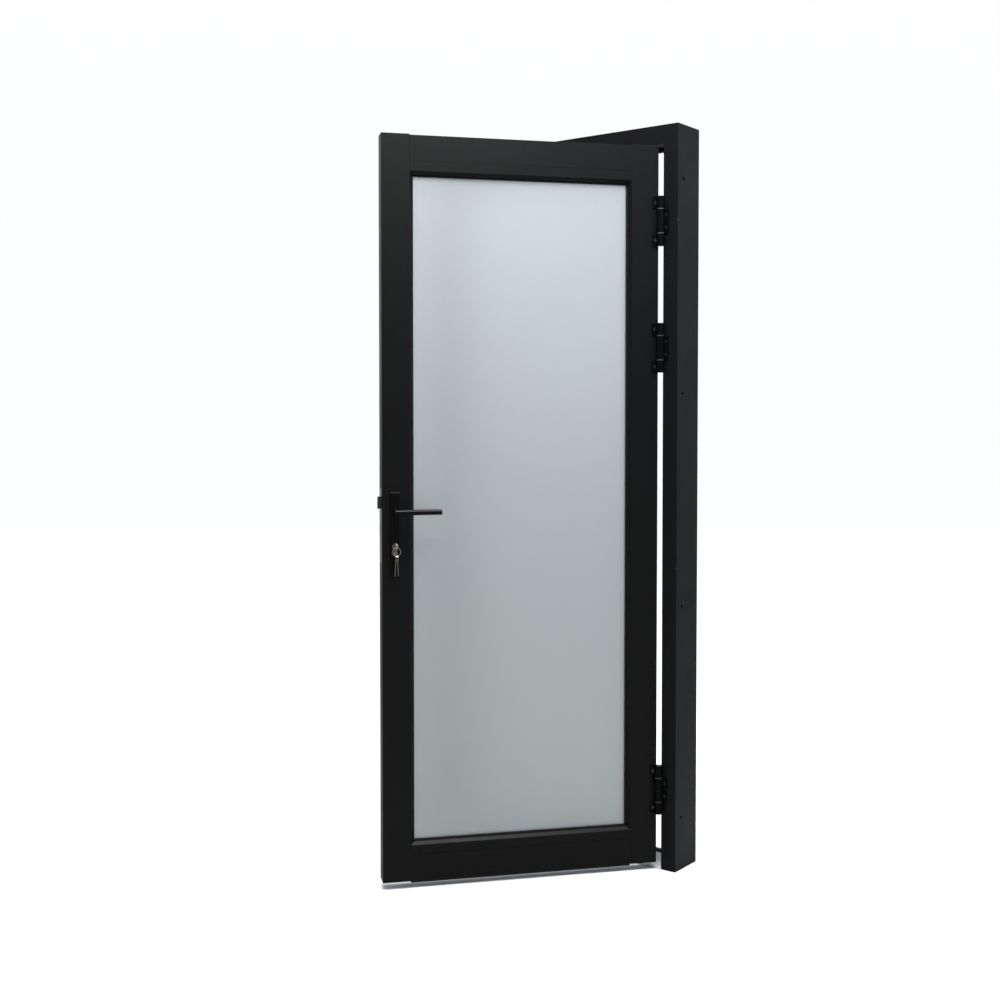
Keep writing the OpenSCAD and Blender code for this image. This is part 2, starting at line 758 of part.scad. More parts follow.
module bead(end) {
    t0 = rail_face + bead_gap;
    wall = bead_wall;
    color(black_coat) swing() {
        difference() {
            intersection() {
                along_x(-rail_x, rail_x) polygon(on_rail(end, [
                    [t0, 0], [rail_total - bevel, 0], [rail_total, bevel],
                    [rail_total, channel_v0], [t0, channel_v0]]));
                along_y(depth(-over), depth(channel_v0 + over)) polygon(rail_elevation(end, t0));
            }
            along_x(-rail_x - over, rail_x + over) polygon(on_rail(end, [
                [t0 + wall, wall], [rail_total - bevel - wall / 2, wall],
                [rail_total - wall, bevel + wall / 2],
                [rail_total - wall, channel_v0 - wall], [t0 + wall, channel_v0 - wall]]));
        }
        along_x(-rail_x + clip_w, rail_x - clip_w)
            polygon(on_rail(end, box_outline(clip_t0, clip_t0 + clip_w,
                channel_v0 - wall, channel_v0 + leaf_wall + clip_w)));
    }
}

module bead_top() bead(1);
module bead_bottom() bead(-1);

module glass_pane() {
    color(frosted) swing()
        block([-glass_x, depth(glass_v0), glass_z0], [glass_x, depth(glass_v1), glass_z1]);
}

module gasket_ring(v0, v1) {
    in_x = sight_x - lip_show;
    out_x = in_x + lip_show + gasket_grip;
    in_z = rail_total + lip_show;
    out_z = in_z - lip_show - gasket_grip;
    color(black_rubber) swing() difference() {
        block([-out_x, depth(v0), rail_z(-1, out_z)], [out_x, depth(v1), rail_z(1, out_z)]);
        block([-in_x, depth(v0 - over), rail_z(-1, in_z)],
            [in_x, depth(v1 + over), rail_z(1, in_z)]);
    }
}

module gasket_front() gasket_ring(channel_v0, glass_v0);
module gasket_rear() gasket_ring(glass_v1, channel_v1);

module setting_blocks() {
    length = 80;
    side_play = 2;
    color(black_rubber) swing() for (end = [-1, 1], s = [-1, 1]) {
        a = rail_z(end, rail_pocket);
        b = rail_z(end, rail_pocket + glass_clear);
        x = s * glass_x / 2;
        block([x - length / 2, depth(glass_v0 - side_play), min(a, b)],
            [x + length / 2, depth(glass_v1 + side_play), max(a, b)]);
    }
}

module leaf_corner_blocks() {
    margin = leaf_wall + block_clear;
    color(bare_aluminium) swing() for (side = [-1, 1], end = [-1, 1]) {
        a = rail_z(end, margin);
        b = rail_z(end, rail_face - margin);
        difference() {
            block([side > 0 ? rail_x - leaf_block_len : -rail_x,
                    depth(margin), min(a, b)],
                [side > 0 ? rail_x : -rail_x + leaf_block_len,
                    depth(leaf_t - margin), max(a, b)]);
            for (v = leaf_screw_depths)
                rod_x(side > 0 ? rail_x - leaf_block_len / 2 : -rail_x - over,
                    side > 0 ? rail_x + over : -rail_x + leaf_block_len / 2,
                    depth(v), rail_z(end, rail_face / 2), leaf_screw_r + run_fit);
        }
    }
}

module leaf_corner_screws() {
    head_x = leaf_x - web_u;
    head_end = head_x + leaf_screw_head_h;
    tip = rail_x - leaf_block_len / 2 + over;
    color(steel) swing() for (side = [-1, 1], end = [-1, 1], v = leaf_screw_depths) {
        y = depth(v);
        z = rail_z(end, rail_face / 2);
        rod_x(min(side * tip, side * head_x), max(side * tip, side * head_x), y, z,
            leaf_screw_r);
        difference() {
            rod_x(min(side * head_x, side * head_end), max(side * head_x, side * head_end),
                y, z, leaf_screw_head_r);
            translate([side * head_end, y, z]) rotate([0, 90, 0])
                cylinder(h = leaf_screw_head_h, r = leaf_screw_r, center = true, $fn = 6);
        }
    }
}

// Sweep seal under the bottom rail: a carrier strip with three blades
module bottom_seal() {
    carrier = 1.5;
    blade_t = 2;
    inset = 3;
    top = metal_z0;
    color(black_rubber) swing() {
        along_x(-rail_x, rail_x) {
            polygon([[depth(inset), top], [depth(leaf_t - inset), top],
                [depth(leaf_t - inset), top - carrier], [depth(inset), top - carrier]]);
            for (v = [inset, lock_mid - blade_t / 2, leaf_t - inset - blade_t])
                polygon([[depth(v), top - carrier / 2], [depth(v + blade_t), top - carrier / 2],
                    [depth(v + blade_t), leaf_z0 - sweep_drop], [depth(v), leaf_z0 - sweep_drop]]);
        }
    }
}

// Nylon caps that close the stile ends, each with a plug inside the main chamber
module stile_caps() {
    plug = 8;
    color(black_rubber) swing() for (side = [-1, 1], end = [-1, 1]) {
        inner = rail_z(end, 0);
        outer = rail_z(end, -cap_t);
        deep = rail_z(end, plug);
        along_z(min(inner, outer), max(inner, outer))
            polygon(on_stile(side, box_outline(0, stile_face, 0, leaf_t)));
        along_z(min(outer, deep), max(outer, deep))
            polygon(on_stile(side, box_outline(leaf_wall + seat, web_u - seat,
                leaf_wall + seat, leaf_t - leaf_wall - seat)));
    }
}

// ---------------------------------------------------------------- lock

// European profile cylinder outline, grown by a clearance
module euro_body(y0, y1, grow) {
    lobe_z = cyl_z - euro_drop + euro_lobe_r;
    rod_y(lock_x, y0, y1, cyl_z, euro_r + grow);
    rod_y(lock_x, y0, y1, lobe_z, euro_lobe_r + grow);
    block([lock_x - euro_lobe_r - grow, y0, lobe_z], [lock_x + euro_lobe_r + grow, y1, cyl_z]);
}

module lock_case() {
    v0 = lock_mid - case_t / 2;
    v1 = lock_mid + case_t / 2;
    color(steel) swing() difference() {
        block([-leaf_x + faceplate_t, depth(v0), case_z0], [-leaf_x + case_u1, depth(v1), case_z1]);
        block([-leaf_x + faceplate_t + case_wall, depth(v0 + case_wall), case_z0 + case_wall],
            [-leaf_x + case_u1 - case_wall, depth(v1 - case_wall), case_z1 - case_wall]);
        for (b = [[latch_z, latch_h], [dead_z, dead_h]])
            block([-leaf_x + faceplate_t - over, depth(lock_mid - bolt_t / 2 - slot_clear),
                    b[0] - b[1] / 2 - slot_clear],
                [-leaf_x + faceplate_t + case_wall + over,
                    depth(lock_mid + bolt_t / 2 + slot_clear), b[0] + b[1] / 2 + slot_clear]);
        rod_y(lock_x, depth(v0 - over), depth(v1 + over), lever_z, hub_r + run_fit);
        euro_body(depth(v0 - over), depth(v1 + over), seat);
        rod_y(lock_x, depth(v0 - over), depth(v1 + over), plate_bolt_z[0], bolt_r + seat);
        rod_x(-leaf_x + faceplate_t - over, -leaf_x + faceplate_t + case_wall + over,
            depth(lock_mid), cyl_screw_z, bolt_r + run_fit);
    }
}

module lock_faceplate() {
    color(steel) swing() difference() {
        block([-leaf_x, depth(lock_mid - faceplate_w / 2), faceplate_z0],
            [-leaf_x + faceplate_t, depth(lock_mid + faceplate_w / 2), faceplate_z1]);
        for (b = [[latch_z, latch_h], [dead_z, dead_h]])
            block([-leaf_x - over, depth(lock_mid - bolt_t / 2 - slot_clear),
                    b[0] - b[1] / 2 - slot_clear],
                [-leaf_x + faceplate_t + over, depth(lock_mid + bolt_t / 2 + slot_clear),
                    b[0] + b[1] / 2 + slot_clear]);
        for (z = [faceplate_z0 + plate_screw_inset, faceplate_z1 - plate_screw_inset])
            toward_px(-leaf_x, depth(lock_mid), z) screw_hole(small_screw_r, faceplate_t + over);
        toward_px(-leaf_x, depth(lock_mid), cyl_screw_z) screw_hole(bolt_r, faceplate_t + over);
    }
}

module faceplate_screws() {
    color(steel) swing()
        for (z = [faceplate_z0 + plate_screw_inset, faceplate_z1 - plate_screw_inset])
            toward_px(-leaf_x, depth(lock_mid), z) screw(small_screw_r, small_screw_len);
}

module cylinder_screw() {
    color(steel) swing()
        toward_px(-leaf_x, depth(lock_mid), cyl_screw_z) screw(bolt_r, backset);
}

// Long plate with chamfered edges: face is the depth of its outer face, base where it
// sits on the leaf
module plate_blank(face, base) {
    c = plate_chamfer;
    z0 = lever_z - backplate_down;
    z1 = lever_z + backplate_up;
    x0 = lock_x - backplate_w / 2;
    x1 = lock_x + backplate_w / 2;
    y = depth(face);
    b = depth(base);
    in = y > b ? -c : c;
    intersection() {
        along_z(z0, z1)
            polygon([[x0, b], [x1, b], [x1, y + in], [x1 - c, y], [x0 + c, y], [x0, y + in]]);
        along_x(x0, x1)
            polygon([[b, z0], [y + in, z0], [y, z0 + c], [y, z1 - 2 * c], [y + in, z1], [b, z1]]);
    }
}

module backplate_front() {
    color(black_coat) swing() difference() {
        plate_blank(-backplate_t, 0);
        rod_y(lock_x, depth(-backplate_t - over), depth(over), lever_z, lever_spigot_r + run_fit);
        euro_body(depth(-backplate_t - over), depth(over), seat);
        for (z = plate_bolt_z)
            rod_y(lock_x, depth(-backplate_t + bolt_cover), depth(over), z, bolt_r + run_fit);
    }
}

module backplate_rear() {
    rear = leaf_t + backplate_t;
    color(black_coat) swing() difference() {
        plate_blank(rear, leaf_t);
        rod_y(lock_x, depth(leaf_t - over), depth(rear + over), lever_z,
            lever_spigot_r + run_fit);
        euro_body(depth(leaf_t - over), depth(rear + over), seat);
        for (z = plate_bolt_z)
            toward_rear_face(lock_x, depth(rear), z) screw_hole(bolt_r, backplate_t + over);
    }
}

module backplate_bolts() {
    rear = leaf_t + backplate_t;
    color(steel) swing() for (z = plate_bolt_z)
        toward_rear_face(lock_x, depth(rear), z) screw(bolt_r, rear + backplate_t - bolt_cover - over);
}

// Round bar lever with a mitred corner: dir is -1 at the front and 1 at the rear
module lever(dir) {
    r = lever_d / 2;
    tip_chamfer = 1;
    face = dir < 0 ? 0 : leaf_t;
    plate = face + dir * backplate_t;
    bar_y = depth(face + dir * lever_offset);
    collar = depth(plate + dir * lever_gap);
    collar_out = depth(plate + dir * (lever_gap + lever_collar_t));
    spigot = depth(plate - dir * spigot_len);
    socket = bar_y - dir * socket_end;
    tip_x = lock_x + lever_reach;
    color(black_coat) swing() difference() {
        union() {
            rod_y(lock_x, min(collar, bar_y), max(collar, bar_y), lever_z, r);
            rod_x(lock_x, tip_x - tip_chamfer, bar_y, lever_z, r);
            translate([tip_x - tip_chamfer, bar_y, lever_z]) rotate([0, 90, 0])
                cylinder(h = tip_chamfer, r1 = r, r2 = r - tip_chamfer);
            // Where the two bars meet they leave a mitred corner
            intersection() {
                rod_x(lock_x - r, lock_x + r, bar_y, lever_z, r);
                rod_y(lock_x, bar_y - r, bar_y + r, lever_z, r);
            }
            rod_y(lock_x, min(collar, collar_out), max(collar, collar_out), lever_z,
                lever_collar_r);
            rod_y(lock_x, min(collar, spigot), max(collar, spigot), lever_z, lever_spigot_r);
        }
        block([lock_x - spindle_w / 2, min(spigot - dir * over, socket), lever_z - spindle_w / 2],
            [lock_x + spindle_w / 2, max(spigot - dir * over, socket),
                lever_z + spindle_w / 2]);
    }
}

module lever_front() lever(-1);
module lever_rear() lever(1);

module spindle() {
    reach = lever_offset - spindle_end;
    color(steel) swing()
        block([lock_x - spindle_w / 2, depth(-reach), lever_z - spindle_w / 2],
            [lock_x + spindle_w / 2, depth(leaf_t + reach), lever_z + spindle_w / 2]);
}

module lock_follower() {
    half = case_t / 2 - case_wall - seat;
    hub_half = case_t / 2;
    color(steel) swing() difference() {
        union() {
            rod_y(lock_x, depth(lock_mid - half), depth(lock_mid + half), lever_z, follower_r);
            rod_y(lock_x, depth(lock_mid - hub_half), depth(lock_mid + hub_half), lever_z, hub_r);
        }
        block([lock_x - spindle_w / 2, depth(lock_mid - hub_half - over), lever_z - spindle_w / 2],
            [lock_x + spindle_w / 2, depth(lock_mid + hub_half + over),
                lever_z + spindle_w / 2]);
    }
}

// Sprung latch, bevelled on the side that meets the strike when the leaf closes
module latch_bolt() {
    nose = 2;
    flat = 1;
    front = depth(lock_mid - bolt_t / 2);
    rear = depth(lock_mid + bolt_t / 2);
    tip = -leaf_x - latch_throw;
    tail = -leaf_x + latch_tail;
    color(steel) swing() along_z(latch_z - latch_h / 2, latch_z + latch_h / 2)
        polygon([[tip, front], [tail, front], [tail, rear], [-leaf_x - flat, rear],
            [tip, front + nose]]);
}

module dead_bolt() {
    x0 = -leaf_x + dead_recess;
    color(steel) swing()
        block([x0, depth(lock_mid - bolt_t / 2), dead_z - dead_h / 2],
            [x0 + dead_len, depth(lock_mid + bolt_t / 2), dead_z + dead_h / 2]);
}

// ---------------------------------------------------------------- cylinder and keys

module cylinder_body() {
    cam_v0 = lock_mid - cam_w / 2 - cam_gap;
    cam_v1 = lock_mid + cam_w / 2 + cam_gap;
    color(nickel) swing() difference() {
        euro_body(depth(euro_v0), depth(euro_v1), 0);
        rod_y(lock_x, depth(euro_v0 - over), depth(euro_v1 + over), cyl_z, plug_r + run_fit);
        rod_y(lock_x, depth(cam_v0), depth(cam_v1), cyl_z, cam_reach + cam_gap);
        rod_x(lock_x - euro_r, lock_x + euro_r, depth(lock_mid), cyl_screw_z, bolt_r + run_fit);
    }
}

module cylinder_plug() {
    slot_h = blade_h + key_slack;
    slot_w = key_t + key_slack;
    color(brass) swing() difference() {
        rod_y(lock_x, depth(euro_v0), depth(euro_v1), cyl_z, plug_r);
        block([lock_x - slot_w / 2, depth(euro_v0 - over), cyl_z - slot_h / 2],
            [lock_x + slot_w / 2, depth(euro_v0 + blade_len), cyl_z + slot_h / 2]);
    }
}

module cylinder_cam() {
    bit_w = 6;
    v0 = lock_mid - cam_w / 2;
    v1 = lock_mid + cam_w / 2;
    color(steel) swing() difference() {
        union() {
            rod_y(lock_x, depth(v0), depth(v1), cyl_z, euro_r);
            intersection() {
                block([lock_x - bit_w / 2, depth(v0), cyl_z],
                    [lock_x + bit_w / 2, depth(v1), cyl_z + cam_reach]);
                rod_y(lock_x, depth(v0), depth(v1), cyl_z, cam_reach);
            }
        }
        rod_y(lock_x, depth(v0 - over), depth(v1 + over), cyl_z, plug_r + run_fit);
    }
}

// Flat key, bow at the origin, blade along -Z, hole towards +Z, thickness along X
module key_blank() {
    neck = blade_h / 2 + 1.5;
    cuts = 5;
    cut_pitch = 5;
    first_cut = 10;
    cut_side = 2;
    cut_step = 0.7;
    cut_out = 0.4;
    difference() {
        union() {
            translate([-key_t / 2, 0, 0]) rotate([0, 90, 0]) cylinder(h = key_t, r = bow_r);
            block([-key_t / 2, -neck, -bow_r - bow_stand], [key_t / 2, neck, 0]);
            block([-key_t / 2, -blade_h / 2, -bow_r - blade_len], [key_t / 2, blade_h / 2, 0]);
        }
        translate([-key_t, 0, key_hole_off]) rotate([0, 90, 0])
            cylinder(h = 2 * key_t, r = key_hole_r);
        // Cuts of the bitting along one edge of the blade
        for (i = [0:cuts - 1])
            translate([-key_t, blade_h / 2 + cut_out, -bow_r - first_cut - cut_pitch * i])
                rotate([45, 0, 0])
                    cube([2 * key_t, cut_side + i % 3 * cut_step, cut_side + i % 3 * cut_step]);
    }
}

module key_in_lock() {
    color(nickel) swing() translate([lock_x, depth(bow_v), cyl_z]) rotate([90, 0, 0]) key_blank();
}

module key_ring() {
    color(steel) swing() translate([lock_x, depth(ring_v), ring_top_z - ring_r]) rotate([90, 0, 0])
        rotate_extrude() translate([ring_r, 0]) circle(r = wire_r, $fn = 24);
}

module spare_key(side) {
    hang = ring_low_z - key_hole_r + wire_r + spare_gap;
    color(nickel) swing() translate([lock_x + side * key_t, depth(ring_v), hang])
        rotate([0, -side * key_splay, 0]) translate([0, 0, -key_hole_off]) key_blank();
}

module spare_key_left() spare_key(-1);
module spare_key_right() spare_key(1);

frame_head();
frame_jamb_hinge();
frame_jamb_lock();
threshold();
threshold_seal();
frame_seal();
frame_corner_blocks();
frame_screws();
strike_plate();
strike_screws();
hinge_frame_top();
hinge_frame_middle();
hinge_frame_bottom();
hinge_frame_screws();
hinge_washers();
stile_lock();
stile_hinge();
rail_top();
rail_bottom();
bead_top();
bead_bottom();
glass_pane();
gasket_front();
gasket_rear();
setting_blocks();
leaf_corner_blocks();
leaf_corner_screws();
bottom_seal();
stile_caps();
hinge_leaf_top_upper();
hinge_leaf_top_lower();
hinge_leaf_middle_upper();
hinge_leaf_middle_lower();
hinge_leaf_bottom_upper();
hinge_leaf_bottom_lower();
hinge_pin_top();
hinge_pin_middle();
hinge_pin_bottom();
hinge_leaf_screws();
lock_case();
lock_faceplate();
faceplate_screws();
backplate_front();
backplate_rear();
backplate_bolts();
cylinder_body();
cylinder_screw();
lever_front();
lever_rear();
spindle();
lock_follower();
latch_bolt();
dead_bolt();
cylinder_plug();
cylinder_cam();
key_in_lock();
key_ring();
spare_key_left();
spare_key_right();
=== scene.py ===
"""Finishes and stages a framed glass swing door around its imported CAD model."""

import json
import math

import bmesh
import bpy
from bpy.props import FloatProperty, FloatVectorProperty, PointerProperty
from mathutils import Matrix, Vector

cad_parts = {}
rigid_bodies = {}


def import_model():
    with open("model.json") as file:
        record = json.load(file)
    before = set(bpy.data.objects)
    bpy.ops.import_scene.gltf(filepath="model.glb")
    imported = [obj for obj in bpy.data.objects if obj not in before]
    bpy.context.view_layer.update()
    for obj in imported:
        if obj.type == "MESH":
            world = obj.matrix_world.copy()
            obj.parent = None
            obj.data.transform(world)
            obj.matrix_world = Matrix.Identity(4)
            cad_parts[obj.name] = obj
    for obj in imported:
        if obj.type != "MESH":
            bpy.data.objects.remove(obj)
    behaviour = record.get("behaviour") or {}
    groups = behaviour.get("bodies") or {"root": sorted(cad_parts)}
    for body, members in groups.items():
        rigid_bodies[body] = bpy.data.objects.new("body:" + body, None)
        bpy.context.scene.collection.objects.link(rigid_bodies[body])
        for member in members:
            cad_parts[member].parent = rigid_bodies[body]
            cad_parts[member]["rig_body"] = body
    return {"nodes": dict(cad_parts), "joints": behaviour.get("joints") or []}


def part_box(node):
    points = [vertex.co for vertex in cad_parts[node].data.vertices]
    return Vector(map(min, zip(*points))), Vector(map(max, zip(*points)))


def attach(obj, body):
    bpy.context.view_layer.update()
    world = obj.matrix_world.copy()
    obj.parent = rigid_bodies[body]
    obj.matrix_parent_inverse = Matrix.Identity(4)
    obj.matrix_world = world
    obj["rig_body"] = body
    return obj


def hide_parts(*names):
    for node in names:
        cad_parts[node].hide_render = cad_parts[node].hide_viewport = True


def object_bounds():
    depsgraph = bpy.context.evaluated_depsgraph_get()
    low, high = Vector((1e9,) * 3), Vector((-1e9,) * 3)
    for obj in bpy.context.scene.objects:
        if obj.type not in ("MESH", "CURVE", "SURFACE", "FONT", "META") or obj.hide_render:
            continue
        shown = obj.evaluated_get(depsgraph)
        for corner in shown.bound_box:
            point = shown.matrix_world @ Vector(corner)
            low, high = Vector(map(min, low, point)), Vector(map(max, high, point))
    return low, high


bl_info = {
    "name": "Framed glass door",
    "version": (1, 0, 0),
    "blender": (4, 5, 0),
    "location": "3D View > Sidebar > Door",
    "description": "Rounds the edges, makes the seals and rings, and gives every piece its finish",
    "category": "Object",
}

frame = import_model()
CAD_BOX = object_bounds()

MM = 0.001
MERGE = 0.01 * MM
FLAT_ANGLE = math.radians(0.5)
SHARP_ANGLE = math.radians(32)

# Knocks on the near arris of the hinge jamb: height above its foot, and size
CHIPS = ((1832 * MM, 2.0 * MM), (860 * MM, 1.8 * MM))

# The split ring's two turns, and how finely they and their wire are divided
RING_TURNS = 2
STEPS_PER_TURN = 72
WIRE_SIDES = 12

# Where the surround is brightest, as seen from the door
BRIGHT_SIDE = (-0.45, 0.65, 0.6)

FLOOR_RADIUS = 60.0
FLOOR_SIDES = 96

# The camera stands before the door, towards the hinges, and looks very slightly down
CAMERA_PLACE = (2.253, -3.236, 1.279)
CAMERA_TILT = math.radians(90 - 1.8)
CAMERA_TURN = math.radians(37.21)
CAMERA_SHIFT = -0.04

# The leaf stands open: this turns a place on the closed leaf to where it is at rest
SWING = next(j for j in frame["joints"] if j["name"] == "door_swing")
PIVOT = Vector(SWING["pos_m"])
OPEN_ANGLE = -math.radians(SWING["range_deg"][0])
TO_OPEN = (
    Matrix.Translation(PIVOT) @ Matrix.Rotation(OPEN_ANGLE, 4, "Z") @ Matrix.Translation(-PIVOT)
)
TO_CLOSED = TO_OPEN.inverted()

FRAME_EXTRUSIONS = ("frame_head", "frame_jamb_hinge", "frame_jamb_lock")
LEAF_EXTRUSIONS = (
    "stile_lock", "stile_hinge", "rail_top", "rail_bottom", "bead_top", "bead_bottom")
HINGE_SETS = ("top", "middle", "bottom")


# ---------------------------------------------------------------- colours and nodes


def srgb(code):
    """Linear red, green and blue of an sRGB hex code such as #1D1E20."""
    levels = [int(code[i : i + 2], 16) / 255 for i in (1, 3, 5)]
    return tuple(v / 12.92 if v <= 0.04045 else ((v + 0.055) / 1.055) ** 2.4 for v in levels)


def rgba(colour):
    """A colour with full alpha, as colour sockets take it."""
    return (*colour, 1.0)


def per_metre(millimetres):
    """Noise scale whose grain is that many millimetres across."""
    return 1 / (millimetres * MM)


def set_inputs(tree, node, inputs):
    """Gives each of the node's sockets a value, or a link from another node's socket."""
    for socket, value in inputs.items():
        if isinstance(value, bpy.types.NodeSocket):
            tree.links.new(value, node.inputs[socket])
        else:
            node.inputs[socket].default_value = value


def add_node(tree, kind, inputs=None, **settings):
    """Adds a node with its settings and the values or links of its sockets."""
    node = tree.nodes.new(kind)
    for name, value in settings.items():
        setattr(node, name, value)
    set_inputs(tree, node, inputs or {})
    return node


def new_material(name):
    """An empty material with its shader, and the Object coordinates that its patterns read."""
    material = bpy.data.materials.new(name)
    material.use_nodes = True
    tree = material.node_tree
    tree.nodes.clear()
    shader = add_node(tree, "ShaderNodeBsdfPrincipled")
    add_node(tree, "ShaderNodeOutputMaterial", {"Surface": shader.outputs["BSDF"]})
    place = add_node(tree, "ShaderNodeTexCoord").outputs["Object"]
    return material, tree, shader, place


# ---------------------------------------------------------------- materials

DUST = srgb("#A39E96")
BARE_METAL = srgb("#46484B")


def powder_coat(name, colour, roughness, specular, dust=0.0, texture=0.5, chips=()):
    """Polyester powder coat, sprayed and baked on metal: matt, with a fine pimpled grain as
    strong as texture says, a faint orange peel, cloudy wiping marks and a little dust on
    what faces up. Each chip is the place and the size of a knock that bares the metal."""
    material, tree, shader, place = new_material(name)
    # The grain is really about 0.3 mm across: drawn coarser so that it shows
    grain = add_node(tree, "ShaderNodeTexNoise", {
        "Vector": place, "Scale": per_metre(1.6), "Detail": 3.0, "Roughness": 0.6})
    peel = add_node(tree, "ShaderNodeTexNoise", {
        "Vector": place, "Scale": per_metre(9), "Detail": 1.0})
    clouds = add_node(tree, "ShaderNodeTexNoise", {
        "Vector": place, "Scale": per_metre(230), "Detail": 5.0, "Roughness": 0.62,
        "Distortion": 0.4})
    smears = add_node(tree, "ShaderNodeMapRange", {
        "Value": clouds.outputs["Fac"], "From Min": 0.35, "From Max": 0.7,
        "To Min": roughness + 0.05, "To Max": roughness - 0.06})
    tone = add_node(tree, "ShaderNodeMix", {
        "Factor": clouds.outputs["Fac"], "A": rgba(colour),
        "B": rgba([c * 1.5 for c in colour])}, data_type="RGBA")
    facing = add_node(tree, "ShaderNodeSeparateXYZ", {
        "Vector": add_node(tree, "ShaderNodeNewGeometry").outputs["Normal"]})
    upward = add_node(tree, "ShaderNodeMapRange", {
        "Value": facing.outputs["Z"], "From Min": 0.35, "From Max": 0.95, "To Max": dust})
    speckle = add_node(tree, "ShaderNodeTexNoise", {
        "Vector": place, "Scale": per_metre(14), "Detail": 6.0, "Roughness": 0.75})
    settled = add_node(tree, "ShaderNodeMath", {
        0: upward.outputs["Result"], 1: speckle.outputs["Fac"]}, operation="MULTIPLY")
    pits = add_node(tree, "ShaderNodeMapRange", {
        "Value": grain.outputs["Fac"], "From Min": 0.35, "From Max": 0.65,
        "To Min": 0.55, "To Max": 1.45})
    flecked = add_node(tree, "ShaderNodeVectorMath", {
        0: tone.outputs["Result"], "Scale": pits.outputs["Result"]}, operation="SCALE")
    dusted = add_node(tree, "ShaderNodeMix", {
        "Factor": settled.outputs["Value"], "A": flecked.outputs["Vector"],
        "B": rgba(DUST)}, data_type="RGBA")
    finished = dusted.outputs["Result"]
    for centre, size in chips:
        away = add_node(tree, "ShaderNodeVectorMath", {
            0: place, 1: centre}, operation="DISTANCE")
        ragged = add_node(tree, "ShaderNodeMath", {
            0: grain.outputs["Fac"], 1: size * 0.9, 2: size * 0.55}, operation="MULTIPLY_ADD")
        inside = add_node(tree, "ShaderNodeMath", {
            0: away.outputs["Value"], 1: ragged.outputs["Value"]}, operation="LESS_THAN")
        chip = add_node(tree, "ShaderNodeMix", {
            "Factor": inside.outputs["Value"], "A": finished,
            "B": rgba(BARE_METAL)}, data_type="RGBA")
        finished = chip.outputs["Result"]
    pimples = add_node(tree, "ShaderNodeBump", {
        "Height": grain.outputs["Fac"], "Strength": texture, "Distance": 0.3 * MM})
    relief = add_node(tree, "ShaderNodeBump", {
        "Height": peel.outputs["Fac"], "Strength": 0.5 * texture, "Distance": 0.25 * MM,
        "Normal": pimples.outputs["Normal"]})
    set_inputs(tree, shader, {
        "Base Color": finished, "Roughness": smears.outputs["Result"],
        "Specular IOR Level": specular, "Normal": relief.outputs["Normal"]})
    return material


def frosted_glass(colour):
    """Acid-etched float glass: the etched skin blurs what is behind it and scatters part of
    the light, with a fine satin grain and a few faint wiping marks."""
    material, tree, shader, place = new_material("Acid-etched glass")
    # The etch is some 0.05 mm across: drawn coarser so that it shows
    grain = add_node(tree, "ShaderNodeTexNoise", {
        "Vector": place, "Scale": per_metre(2.2), "Detail": 4.0, "Roughness": 0.7})
    wiped = add_node(tree, "ShaderNodeTexNoise", {
        "Vector": place, "Scale": per_metre(320), "Detail": 4.0, "Roughness": 0.6,
        "Distortion": 0.6})
    haze = add_node(tree, "ShaderNodeMapRange", {
        "Value": wiped.outputs["Fac"], "From Min": 0.3, "From Max": 0.75,
        "To Min": 0.40, "To Max": 0.47})
    tint = add_node(tree, "ShaderNodeMix", {
        "Factor": wiped.outputs["Fac"], "A": rgba(colour),
        "B": rgba([c * 0.94 for c in colour])}, data_type="RGBA")
    etch = add_node(tree, "ShaderNodeBump", {
        "Height": grain.outputs["Fac"], "Strength": 0.5, "Distance": 0.05 * MM})
    set_inputs(tree, shader, {
        "Base Color": tint.outputs["Result"], "Roughness": haze.outputs["Result"], "IOR": 1.52,
        "Transmission Weight": 0.68, "Normal": etch.outputs["Normal"]})
    return material


def extruded_aluminium(colour):
    """Natural anodised aluminium: satin, with die lines along the extrusion and light scuffs
    from shoes."""
    material, tree, shader, place = new_material("Anodised aluminium")
    along = add_node(tree, "ShaderNodeMapping", {
        "Vector": place, "Scale": (per_metre(420), per_metre(0.9), per_metre(0.9))})
    lines = add_node(tree, "ShaderNodeTexNoise", {
        "Vector": along.outputs["Vector"], "Scale": 1.0, "Detail": 4.0, "Roughness": 0.65})
    scuffs = add_node(tree, "ShaderNodeTexNoise", {
        "Vector": place, "Scale": per_metre(38), "Detail": 6.0, "Roughness": 0.7,
        "Distortion": 1.2})
    worn = add_node(tree, "ShaderNodeMapRange", {
        "Value": scuffs.outputs["Fac"], "From Min": 0.45, "From Max": 0.72,
        "To Min": 0.45, "To Max": 0.62})
    grimy = add_node(tree, "ShaderNodeMapRange", {
        "Value": scuffs.outputs["Fac"], "From Min": 0.52, "From Max": 0.8, "To Max": 0.35})
    tone = add_node(tree, "ShaderNodeMix", {
        "Factor": grimy.outputs["Result"], "A": rgba(colour),
        "B": rgba([c * 0.5 for c in colour])}, data_type="RGBA")
    relief = add_node(tree, "ShaderNodeBump", {
        "Height": lines.outputs["Fac"], "Strength": 0.4, "Distance": 0.05 * MM})
    set_inputs(tree, shader, {
        "Base Color": tone.outputs["Result"], "Metallic": 0.45,
        "Roughness": worn.outputs["Result"], "Normal": relief.outputs["Normal"]})
    return material


